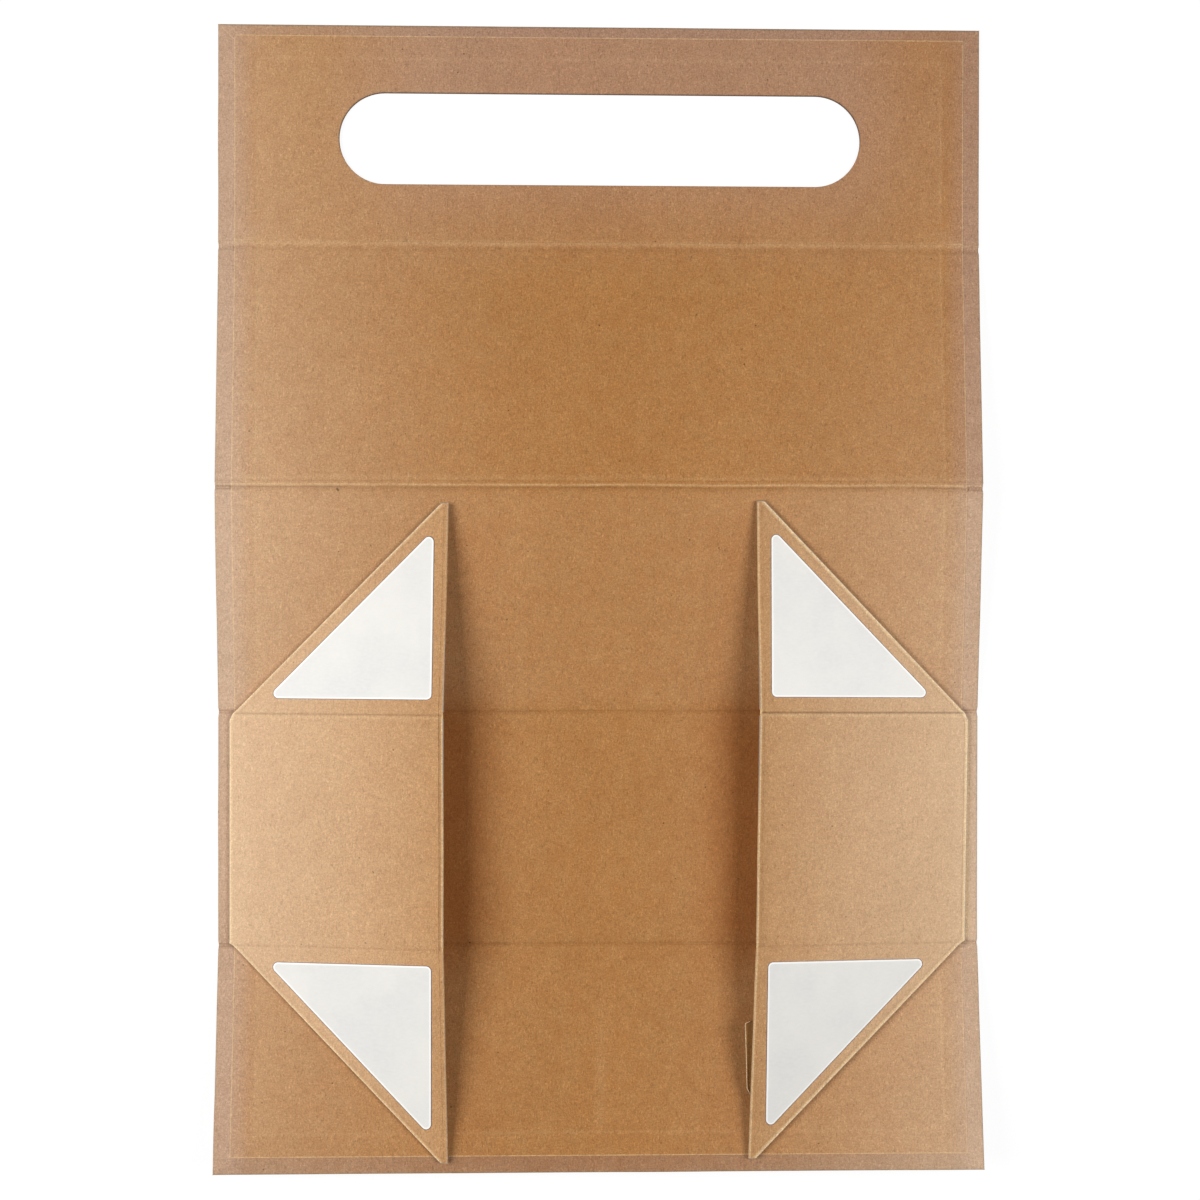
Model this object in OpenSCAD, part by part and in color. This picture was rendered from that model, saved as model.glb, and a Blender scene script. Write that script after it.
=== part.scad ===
// Collapsible rigid gift box for one bottle, opened out flat with its inside facing up.
// A chain of greyboard panels is wrapped in kraft paper and hinged at paper creases:
// front wall, base, back wall, lid and a closing flap with a hand hole. Two end flaps,
// each with two triangular corner tabs, are folded in over the base.
// Millimetres. X runs along the box, Y from the front wall to the closing flap, Z up.
// The origin is the centre of the underside of the base.

/* [Panels] */
// Length of the box, which is the width of every panel in the chain
panel_width = 340; // [260:1:400]
// Base, from its front crease to its back crease
base_depth = 104; // [92:0.5:116]
// Back wall, from the base crease to the lid crease
wall_height = 100.6; // [90:0.1:112]
// How much lower the front wall is than the back wall
front_wall_drop = 1; // [0:0.1:4]
// How much deeper the lid is than the base, so that it covers both walls
lid_cover = 3.8; // [3:0.1:6]
// Closing flap, from the lid crease to its free edge
handle_flap_depth = 98.7; // [80:0.1:120]
// Rise of the back wall away from the base, left by its crease, in degrees
back_wall_slope = 6.9; // [2:0.1:9]
// Rise of the front wall away from the base, left by its crease, in degrees
front_wall_slope = 10.5; // [3:0.1:12]

/* [Sheets] */
// Thickness of the greyboard in every panel
board = 1.5; // [1.2:0.05:1.8]
// Thickness of the kraft paper
paper = 0.15; // [0.1:0.01:0.2]
// Gap between two boards at a crease of the panel chain
crease_gap = 4; // [3.9:0.1:6]
// Flat floor of the groove at a crease of the panel chain
groove_floor = 1.4; // [1:0.1:1.5]
// How far the outer wrap is turned in over the boards
turn_in = 17; // [13:0.5:25]
// Strip of turned-in wrap left bare round the lining
lining_border = 7.3; // [6.5:0.1:9]

/* [Hand hole] */
// Length of the hand hole over its round ends
hole_length = 232.5; // [120:0.5:240]
// Width of the hand hole
hole_width = 40.6; // [25:0.1:45]
// Distance from the hand hole to the free edge of the closing flap
hole_to_edge = 30; // [24:0.5:35]

/* [End flaps] */
// Bare strip of the base outside the hinge of an end flap
base_margin = 5.4; // [4:0.1:6]
// How much lower an end flap is than the back wall, so that the lid shuts over it
end_flap_drop = 3.2; // [2.6:0.1:8]
// How far the tab creases lie inside the base creases
tab_crease_inset = 0.5; // [0.2:0.1:2]
// How much shorter a corner tab is than the back wall, so that it stays clear of the lid
tab_drop = 7.2; // [6.4:0.1:14]
// Gap between the boards at a tab crease
tab_crease_gap = 3; // [2.4:0.1:4]
// Flat roof of the groove at a tab crease
tab_groove_roof = 1.4; // [1:0.1:1.8]
// Lean of the tip of a front tab past the free edge of its flap
front_tab_lean = 2.2; // [0:0.1:4]
// Lean of the tip of a back tab past the free edge of its flap
back_tab_lean = 1; // [0:0.1:4]
// Width of the blunt tip of a tab
tip_width = 3.4; // [2.5:0.1:5]
// Clip of the hinge corners, measured away from the hinge
clip_height = 1.8; // [1:0.1:3]
// Clip of the back hinge corner, measured along the hinge
back_clip_length = 3; // [0.5:0.1:6]
// Clip of the front hinge corner, measured along the hinge
front_clip_length = 0.8; // [0.5:0.1:6]
// Clearance of a tab tip above the wall that it lies on
tip_clearance = 0.4; // [0.3:0.1:1]
// Clearance between the foot of an end flap and its hinge line
foot_clearance = 0.1; // [0.05:0.05:0.3]
// Turn of the left end flap about the vertical, in degrees
left_end_skew = 0; // [0:0.05:0.8]
// Turn of the right end flap about the vertical, in degrees
right_end_skew = 0.75; // [0:0.05:0.8]
// Bare edge round the sheet on the face of an end flap
end_border = 2; // [1.5:0.1:3]
// How far the wrap of an end flap is turned in over its face
end_turn_in = 4; // [3:0.1:4.2]

/* [Adhesive patches] */
// How much shorter the two straight sides of a patch are than its tab
patch_tip_gap = 17.9; // [17.6:0.1:45]
// Distance from a patch to the free edge of its tab
patch_edge_inset = 5.4; // [4.8:0.1:9]
// Distance from a patch to the crease of its tab
patch_crease_inset = 7; // [5:0.1:9]
// Radius of the corners of a patch
patch_corner_r = 2.2; // [1:0.1:4]
// Thickness of the adhesive
adhesive = 0.2; // [0.1:0.01:0.4]
// Thickness of the release liner
liner = 0.12; // [0.08:0.01:0.2]

/* [Hidden] */
$fn = 48;

kraft = [0.66, 0.48, 0.34];
kraft_inside = [0.69, 0.51, 0.37];
greyboard = [0.55, 0.52, 0.47];
adhesive_tint = [0.9, 0.88, 0.8];
liner_white = [0.93, 0.93, 0.92];

// Heights above the underside of a panel
wrap_top = paper;
board_top = paper + board;
turn_in_top = board_top + paper;
lining_top = turn_in_top + paper;
// The panel chain folds about the top of the sheets in the groove
fold_level = 3 * paper;

// The chain of panels in section, from the free edge of the front wall
FRONT_WALL = 0;
BASE = 1;
BACK_WALL = 2;
LID = 3;
HANDLE_FLAP = 4;
front_height = wall_height - front_wall_drop;
lid_depth = base_depth + lid_cover;
lid_crease = [base_depth / 2, fold_level]
    + wall_height * [cos(back_wall_slope), sin(back_wall_slope)];
lid_slope = asin((lid_crease[1] - fold_level) / lid_depth);
handle_crease = lid_crease + lid_depth * [cos(lid_slope), -sin(lid_slope)];
chain = [
    [-base_depth / 2 - front_height * cos(front_wall_slope),
        fold_level + front_height * sin(front_wall_slope)],
    [-base_depth / 2, fold_level],
    [base_depth / 2, fold_level],
    lid_crease,
    handle_crease,
    handle_crease + [handle_flap_depth, 0]
];

// The end flaps: hinge line, slope at rest and the fold of the back tabs
hinge_x = panel_width / 2 - base_margin;
hinge_z = lining_top + paper;
end_height = wall_height - end_flap_drop;
tab_reach = wall_height - tab_drop;
tab_crease_y = base_depth / 2 - tab_crease_inset;
tip_beyond_base = tab_crease_y + tab_reach - base_depth / 2;
front_rest_z = fold_level + board / cos(front_wall_slope)
    + tip_beyond_base * tan(front_wall_slope) + tip_clearance;
back_rest_z = fold_level + board / cos(back_wall_slope)
    + tip_beyond_base * tan(back_wall_slope) + tip_clearance;
end_slope = asin((front_rest_z - hinge_z) / (end_height + front_tab_lean - tip_width));
back_tab_drop = (hinge_z + (end_height + back_tab_lean - tip_width) * sin(end_slope)
    - back_rest_z) / cos(end_slope);
back_tab_fold = atan(back_tab_drop / tab_reach);

// The end flap in section along its hinge: front tab, flap and back tab
FRONT_TAB = 0;
END_FLAP = 1;
BACK_TAB = 2;
end_chain = [
    [-tab_crease_y - tab_reach, turn_in_top],
    [-tab_crease_y, turn_in_top],
    [tab_crease_y, turn_in_top],
    [tab_crease_y + tab_reach * cos(back_tab_fold),
        turn_in_top - tab_reach * sin(back_tab_fold)]
];

// A line that ends at a crease instead of at a free edge
AT_CREASE = -1;

// Direction and upward normal of one panel of a chain
function along(path, i) = (path[i + 1] - path[i]) / norm(path[i + 1] - path[i]);
function upward(path, i) = [-along(path, i)[1], along(path, i)[0]];
function panel_length(path, i) = norm(path[i + 1] - path[i]);

// A point on panel i: distance s from its first crease, height n above its underside
function spot(path, level, i, s, n) =
    path[i] + s * along(path, i) + (n - level) * upward(path, i);

// The point at height n on the plane that halves the angle of the crease before panel i
function mitre(path, level, i, n) =
    let (a = upward(path, i - 1), b = upward(path, i))
    path[i] + (n - level) * (a + b) / (1 + a * b);

// One face of a sheet: height panel_n on the panels and crease_n in the grooves
function face_line(path, level, first, last, panel_n, crease_n, start, finish, gap, flat) = [
    for (i = [first:last])
        let (size = panel_length(path, i))
        each concat(
            i == first && start != AT_CREASE
                ? [spot(path, level, i, start, panel_n)]
                : [mitre(path, level, i, crease_n),
                   spot(path, level, i, flat / 2, crease_n),
                   spot(path, level, i, gap / 2, panel_n)],
            i == last && finish != AT_CREASE
                ? [spot(path, level, i, size - finish, panel_n)]
                : [spot(path, level, i, size - gap / 2, panel_n),
                   spot(path, level, i, size - flat / 2, crease_n)]
        ),
    if (finish == AT_CREASE) mitre(path, level, last + 1, crease_n)
];

function reversed(list) = [for (i = [len(list) - 1:-1:0]) list[i]];

// Section of a sheet in the panel chain, between two heights, grooved at the creases
function chain_band(first, last, low, high, start, finish) = concat(
    face_line(chain, fold_level, first, last, low[0], low[1], start, finish,
        crease_gap, groove_floor),
    reversed(face_line(chain, fold_level, first, last, high[0], high[1], start, finish,
        crease_gap, groove_floor))
);

// Section of a sheet in an end flap and its tabs
function end_band(low, high) = concat(
    face_line(end_chain, turn_in_top, FRONT_TAB, BACK_TAB, low[0], low[1], 0, 0,
        tab_crease_gap, tab_groove_roof),
    reversed(face_line(end_chain, turn_in_top, FRONT_TAB, BACK_TAB, high[0], high[1], 0, 0,
        tab_crease_gap, tab_groove_roof))
);

// Section of a flat slab on panel i, from s = a to s = b and between two heights
function slab(path, level, i, a, b, low, high) = [
    spot(path, level, i, a, low), spot(path, level, i, b, low),
    spot(path, level, i, b, high), spot(path, level, i, a, high)
];

// Moves every side of a closed outline inwards by d; the outline runs anticlockwise
function inset(points, d) = [
    for (i = [0:len(points) - 1])
        let (
            count = len(points),
            before = points[i] - points[(i + count - 1) % count],
            after = points[(i + 1) % count] - points[i],
            a = [-before[1], before[0]] / norm(before),
            b = [-after[1], after[0]] / norm(after)
        )
        points[i] + d * (a + b) / (1 + a * b)
];

// Outline of an end flap with its tabs: u away from the hinge, v along it.
// The tips are blunt where blunt is tip_width and come to a point where it is 0.
function tip(lean, side, blunt) =
    let (
        edge = end_height + lean,
        far = tab_crease_y + tab_reach,
        reach = tab_reach * (edge - clip_height) / (edge - clip_height - (tip_width - blunt))
    )
    blunt > 0
        ? [[edge, side * far], [edge - blunt, side * far]]
        : [[edge, side * (tab_crease_y + reach)]];

function end_outline(blunt) = concat(
    [[foot_clearance, tab_crease_y - back_clip_length],
     [foot_clearance, -tab_crease_y + front_clip_length],
     [clip_height, -tab_crease_y]],
    reversed(tip(front_tab_lean, -1, blunt)),
    [[end_height, -tab_crease_y], [end_height, tab_crease_y]],
    tip(back_tab_lean, 1, blunt),
    [[clip_height, tab_crease_y]]
);

// Extrudes a section in Y and Z along X
module along_x(from, to) {
    translate([from, 0, 0])
        rotate([90, 0, 90])
            linear_extrude(to - from)
                children();
}

// The part of a sheet or board of an end flap that lies inside a plan outline
module cut_to_plan(section) {
    intersection() {
        along_x(-1, end_height + front_tab_lean + back_tab_lean + 1)
            polygon(section);
        translate([0, 0, -tab_reach])
            linear_extrude(2 * tab_reach)
                children();
    }
}

// Puts an end flap, drawn flat with its hinge on the Y axis, at its place on the base
module place_end(side) {
    if (side == "left")
        translate([-hinge_x, 0, hinge_z])
            rotate([0, 0, left_end_skew])
                rotate([0, -end_slope, 0])
                    children();
    else
        translate([hinge_x, 0, hinge_z])
            rotate([0, 0, -right_end_skew])
                mirror([1, 0, 0])
                    rotate([0, -end_slope, 0])
                        children();
}

// Round-ended hole through the closing flap
module hand_hole() {
    radius = hole_width / 2;
    middle = chain[5][0] - hole_to_edge - radius;
    reach = hole_length / 2 - radius;
    translate([0, middle, -board])
        linear_extrude(4 * board)
            union() {
                square([2 * reach, hole_width], center = true);
                for (side = [-1, 1])
                    translate([side * reach, 0])
                        circle(radius);
            }
}

// Everything that lies at least margin inside the sides of the chain, and inside the
// free edge that panels first to last may have; free is "start", "finish" or "none"
module inner_zone(first, last, free, margin) {
    half = panel_width / 2 - margin;
    size = panel_length(chain, last);
    far = 10 * base_depth;
    along_x(-half, half)
        polygon(
            free == "start" ? slab(chain, fold_level, first, margin, far, -far, far)
            : free == "finish" ? slab(chain, fold_level, last, -far, size - margin, -far, far)
            : slab(chain, fold_level, first, -far, far, -far, far)
        );
}

// A sheet over the whole width of panels first to last, between two heights
module full_band(first, last, free, low, high) {
    along_x(-panel_width / 2, panel_width / 2)
        polygon(chain_band(first, last, low, high,
            free == "start" ? 0 : AT_CREASE, free == "finish" ? 0 : AT_CREASE));
}

// Greyboard of panel i
module panel_board(i, free) {
    from = free == "start" ? 0 : crease_gap / 2;
    to = panel_length(chain, i) - (free == "finish" ? 0 : crease_gap / 2);
    color(greyboard)
        intersection() {
            along_x(-panel_width / 2, panel_width / 2)
                polygon(slab(chain, fold_level, i, from, to, wrap_top, board_top));
            inner_zone(i, i, free, paper);
        }
}

// Kraft sheet under panels first to last, turned in over their sides and free edge
module outer_wrap(first, last, free) {
    color(kraft) {
        full_band(first, last, free, [0, 0], [wrap_top, wrap_top]);
        difference() {
            full_band(first, last, free, [0, 0], [turn_in_top, 2 * paper]);
            inner_zone(first, last, free, paper);
        }
        difference() {
            full_band(first, last, free, [board_top, paper], [turn_in_top, 2 * paper]);
            inner_zone(first, last, free, turn_in);
        }
    }
}

// Kraft sheet on the inside of panels first to last, stepping up over the turned-in wrap
module lining(first, last, free) {
    color(kraft_inside) {
        intersection() {
            full_band(first, last, free, [board_top, paper], [turn_in_top, 2 * paper]);
            inner_zone(first, last, free, turn_in);
        }
        difference() {
            intersection() {
                full_band(first, last, free, [turn_in_top, 2 * paper],
                    [lining_top, fold_level]);
                inner_zone(first, last, free, lining_border);
            }
            inner_zone(first, last, free, turn_in + paper);
        }
    }
}

// Draws its children on the right, or mirrored on the left
module on_side(side) {
    if (side > 0)
        children();
    else
        mirror([1, 0, 0])
            children();
}

// Paper strip that holds the foot of an end flap down to the base
module hinge_strip(side) {
    inner = panel_width / 2 - turn_in;
    step = panel_width / 2 - lining_border;
    half = base_depth / 2 - crease_gap;
    color(kraft)
        on_side(side)
            rotate([90, 0, 0])
                linear_extrude(2 * half, center = true)
                    polygon([
                        [inner, lining_top], [step, lining_top], [step, turn_in_top],
                        [hinge_x, turn_in_top], [hinge_x, hinge_z], [inner, hinge_z]
                    ]);
}

// Section of a slab on the stiff part of panel i of an end flap, clear of its creases
function end_slab(i, low, high) = slab(end_chain, turn_in_top, i,
    i == FRONT_TAB ? 0 : tab_crease_gap / 2,
    panel_length(end_chain, i) - (i == BACK_TAB ? 0 : tab_crease_gap / 2), low, high);

// Greyboard of one panel of an end flap, before it is put in place
module end_panel_board(i) {
    color(greyboard)
        cut_to_plan(end_slab(i, wrap_top, board_top))
            polygon(inset(end_outline(tip_width), paper));
}

// Kraft sheet on the back of an end flap and its tabs, turned in over their face
module end_wrap() {
    outline = end_outline(tip_width);
    color(kraft) {
        cut_to_plan(end_band([0, board], [wrap_top, board_top]))
            polygon(outline);
        cut_to_plan(end_band([0, board], [turn_in_top, turn_in_top]))
            difference() {
                polygon(outline);
                polygon(inset(outline, paper));
            }
        cut_to_plan(end_band([board_top, board_top], [turn_in_top, turn_in_top]))
            difference() {
                polygon(outline);
                polygon(inset(end_outline(0), end_turn_in));
            }
    }
}

// Kraft sheet on the face of an end flap and its tabs
module end_lining() {
    color(kraft_inside) {
        cut_to_plan(end_band([board_top, board_top], [turn_in_top, turn_in_top]))
            polygon(inset(end_outline(0), end_turn_in));
        cut_to_plan(end_band([turn_in_top, turn_in_top], [lining_top, lining_top]))
            difference() {
                polygon(inset(end_outline(tip_width), end_border));
                polygon(inset(end_outline(0), end_turn_in + paper));
            }
    }
}

// Right-angled triangle with round corners, the right angle at the corner of a tab
module patch_shape(side) {
    u = end_height - patch_edge_inset;
    v = tab_crease_y + patch_crease_inset;
    leg = tab_reach - patch_tip_gap;
    points = side > 0
        ? [[u, v], [u, v + leg], [u - leg, v]]
        : [[u, -v], [u - leg, -v], [u, -v - leg]];
    centres = inset(points, patch_corner_r);
    for (i = [0:2])
        translate(centres[i])
            circle(patch_corner_r);
    polygon([
        for (i = [0:2])
            let (
                next = (i + 1) % 3,
                edge = points[next] - points[i],
                outward = [edge[1], -edge[0]] / norm(edge)
            )
            each [centres[i] + patch_corner_r * outward,
                  centres[next] + patch_corner_r * outward]
    ]);
}

// A layer of a patch, between two heights above the sheet on the face of the tab
module patch_layer(side, low, high, tint) {
    color(tint)
        cut_to_plan(end_slab(side > 0 ? BACK_TAB : FRONT_TAB,
                turn_in_top + low, turn_in_top + high))
            patch_shape(side);
}

module adhesive_patch(side) {
    patch_layer(side, 0, adhesive, adhesive_tint);
}

module release_liner(side) {
    patch_layer(side, adhesive, adhesive + liner, liner_white);
}

module base_board() { panel_board(BASE, "none"); }
module back_wall_board() { panel_board(BACK_WALL, "none"); }
module front_wall_board() { panel_board(FRONT_WALL, "start"); }
module lid_board() { panel_board(LID, "none"); }

module handle_flap_board() {
    difference() {
        panel_board(HANDLE_FLAP, "finish");
        hand_hole();
    }
}

module body_outer_wrap() { outer_wrap(FRONT_WALL, BACK_WALL, "start"); }
module lid_outer_wrap() { outer_wrap(LID, LID, "none"); }

module handle_flap_outer_wrap() {
    difference() {
        outer_wrap(HANDLE_FLAP, HANDLE_FLAP, "finish");
        hand_hole();
    }
}

module body_lining() { lining(FRONT_WALL, BACK_WALL, "start"); }
module lid_lining() { lining(LID, LID, "none"); }

module handle_flap_lining() {
    difference() {
        lining(HANDLE_FLAP, HANDLE_FLAP, "finish");
        hand_hole();
    }
}

base_board();
back_wall_board();
front_wall_board();
lid_board();
handle_flap_board();
body_outer_wrap();
lid_outer_wrap();
handle_flap_outer_wrap();
body_lining();
lid_lining();
handle_flap_lining();
hinge_strip(-1);  // left_hinge_strip
hinge_strip(1);  // right_hinge_strip

for (side = ["left", "right"]) {
    place_end(side) end_panel_board(END_FLAP);
    place_end(side) end_panel_board(BACK_TAB);
    place_end(side) end_panel_board(FRONT_TAB);
    place_end(side) end_wrap();
    place_end(side) end_lining();
    place_end(side) adhesive_patch(1);
    place_end(side) release_liner(1);
    place_end(side) adhesive_patch(-1);
    place_end(side) release_liner(-1);
}
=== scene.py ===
# %% [markdown]
# # A kraft gift box for one bottle, opened out flat
#
# The real box is five panels of greyboard in one sheet of brown kraft paper, lined with a
# second sheet, with two end flaps folded in over the base. Everything is paper, so the
# looks come from thin sheets: how they step over each other, dip at the creases, turn
# round the edges of the boards and catch a soft light from both sides.
#
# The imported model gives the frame: its bodies and joints, and boards that stay as they
# are. The sheets that show are built here again, with their folds and steps.

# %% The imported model
import math

import bmesh
import bpy
import numpy as np
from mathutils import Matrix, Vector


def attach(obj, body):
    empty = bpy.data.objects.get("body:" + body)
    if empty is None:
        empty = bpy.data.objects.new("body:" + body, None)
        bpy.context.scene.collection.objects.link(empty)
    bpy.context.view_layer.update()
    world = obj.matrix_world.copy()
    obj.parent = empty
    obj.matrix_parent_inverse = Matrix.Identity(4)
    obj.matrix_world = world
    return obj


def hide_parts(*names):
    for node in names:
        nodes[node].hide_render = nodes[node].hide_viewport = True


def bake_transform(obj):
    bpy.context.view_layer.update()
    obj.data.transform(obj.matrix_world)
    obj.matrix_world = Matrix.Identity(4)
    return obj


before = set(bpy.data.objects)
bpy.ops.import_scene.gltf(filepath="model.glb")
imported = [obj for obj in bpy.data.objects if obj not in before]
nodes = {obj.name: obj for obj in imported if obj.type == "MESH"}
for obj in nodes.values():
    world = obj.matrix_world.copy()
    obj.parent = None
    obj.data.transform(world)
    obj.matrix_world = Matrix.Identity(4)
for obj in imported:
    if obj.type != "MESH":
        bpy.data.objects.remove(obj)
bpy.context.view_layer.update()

# %% [markdown]
# ## Sizes
#
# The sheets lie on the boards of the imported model, so they share its sizes. They are
# written in millimetres, as a box maker would, and become metres where a mesh is made.

# %% Sizes of the panels and sheets, in millimetres
MM = 0.001
HALF_WIDTH = 170.0
FRONT, BASE, BACK, LID, FLAP = 99.6, 104.0, 100.6, 107.8, 98.7
FRONT_RISE, BACK_RISE = 10.5, 6.9
PAPER = 0.15
BOARD_TOP = 1.65
WRAP_TOP = 1.80
LINING_TOP = 1.95
FOLD_LEVEL = 0.45
TURN_IN = 17.0
LINING_BORDER, FLAP_SHIFT = 7.3, 2.5
CREASE_HALF = 2.0
HOLE_LENGTH, HOLE_RADIUS, HOLE_TO_EDGE = 232.5, 20.3, 30.0

# %% [markdown]
# ## Camera
#
# The camera stands a metre above the box and looks almost straight down. Its place, turn
# and lens were worked out from the corners and creases of the panels.

# %% Camera
CAMERA_PLACE, CAMERA_TURN = (-0.03107, 0.10962, 1.0), (-0.4374, -1.7820, 0.0676)
SENSOR, LENS = 36.0, 67.02
camera_data = bpy.data.cameras.new("camera")
camera_data.sensor_width, camera_data.lens = SENSOR, LENS
camera = bpy.data.objects.new("camera", camera_data)
camera.location = CAMERA_PLACE
camera.rotation_euler = [math.radians(a) for a in CAMERA_TURN]
bpy.context.scene.collection.objects.link(camera)
bpy.context.scene.camera = camera
print("camera lens in mm:", camera_data.lens)

# %% [markdown]
# ## Light and floor
#
# Two big soft lamps stand left and right of the table, the right one nearer and weaker.
# They leave a soft shade beside the end flaps, whose free edges stand 20 mm clear of the
# base. The floor is white to the camera and still takes the shadow of the box.

# %% Lamps
LAMP_AIM = (0, 0.1, 0)
LAMPS = (  # name, place in metres, size in metres, watts
    ("left_lamp", (-0.95, 0.10, 0.95), 0.75, 15.6),
    ("right_lamp", (0.75, 0.10, 1.05), 0.60, 10.0),
)
bpy.context.scene.view_settings.view_transform = "Standard"


def soft_lamp(name, place, aim, size, watts):
    """A square area lamp at place that points at aim, unseen by the camera itself."""
    data = bpy.data.lights.new(name, "AREA")
    data.shape, data.size, data.energy = "SQUARE", size, watts
    lamp = bpy.data.objects.new(name, data)
    lamp.location = place
    to_aim = [b - a for a, b in zip(place, aim)]
    lamp.rotation_euler = Vector(to_aim).to_track_quat("-Z", "Y").to_euler()
    lamp.visible_camera = False
    bpy.context.scene.collection.objects.link(lamp)


for name, place, size, watts in LAMPS:
    soft_lamp(name, place, LAMP_AIM, size, watts)

# %% World and floor
WORLD_LIGHT, WORLD_TINT = 0.045, (1.0, 0.99, 0.98, 1)
FLOOR_GREY, FLOOR_GLOW, FLOOR_SHARE, FLOOR_REACH = 0.8, 1.06, 0.86, 15.0


def shown_to(tree, rays, plain, shown, share, surface):
    """Gives surface the shader plain, but to the given kinds of ray a share of shown."""
    new, link = tree.nodes.new, tree.links.new
    path = new("ShaderNodeLightPath")
    flag = path.outputs[rays[0]]
    for ray in rays[1:]:
        either = new("ShaderNodeMath")
        either.operation = "MAXIMUM"
        link(flag, either.inputs[0])
        link(path.outputs[ray], either.inputs[1])
        flag = either.outputs[0]
    part = new("ShaderNodeMath")
    part.operation = "MULTIPLY"
    part.inputs[1].default_value = share
    link(flag, part.inputs[0])
    mix = new("ShaderNodeMixShader")
    for source, target in ((part, 0), (plain, 1), (shown, 2)):
        link(source.outputs[0], mix.inputs[target])
    link(mix.outputs[0], surface)


world = bpy.data.worlds.new("studio")
bpy.context.scene.world = world
world.use_nodes = True
tree = world.node_tree
seen = tree.nodes["Background"]
seen.inputs["Strength"].default_value = 1.0
seen.inputs["Color"].default_value = (1, 1, 1, 1)
dim = tree.nodes.new("ShaderNodeBackground")
dim.inputs["Color"].default_value = WORLD_TINT
dim.inputs["Strength"].default_value = WORLD_LIGHT
shown_to(tree, ("Is Camera Ray", "Is Transmission Ray"), dim, seen, 1.0,
         tree.nodes["World Output"].inputs["Surface"])

floor_finish = bpy.data.materials.new("floor_white")
floor_finish.use_nodes = True
tree = floor_finish.node_tree
paint = tree.nodes["Principled BSDF"]
paint.inputs["Base Color"].default_value = (FLOOR_GREY, FLOOR_GREY, FLOOR_GREY, 1)
paint.inputs["Roughness"].default_value = 0.9
glow = tree.nodes.new("ShaderNodeEmission")
glow.inputs["Strength"].default_value = FLOOR_GLOW
shown_to(tree, ("Is Camera Ray", "Is Glossy Ray", "Is Transmission Ray"), paint, glow,
         FLOOR_SHARE, tree.nodes["Material Output"].inputs["Surface"])

floor_mesh = bpy.data.meshes.new("floor")
corners = ((-1, -1), (1, -1), (1, 1), (-1, 1))
floor_mesh.from_pydata([(FLOOR_REACH * a, FLOOR_REACH * b, 0) for a, b in corners],
                       [], [(0, 1, 2, 3)])
floor_mesh.materials.append(floor_finish)
floor = bpy.data.objects.new("floor", floor_mesh)
floor.location.z = -0.0002
bpy.context.scene.collection.objects.link(floor)
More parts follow.
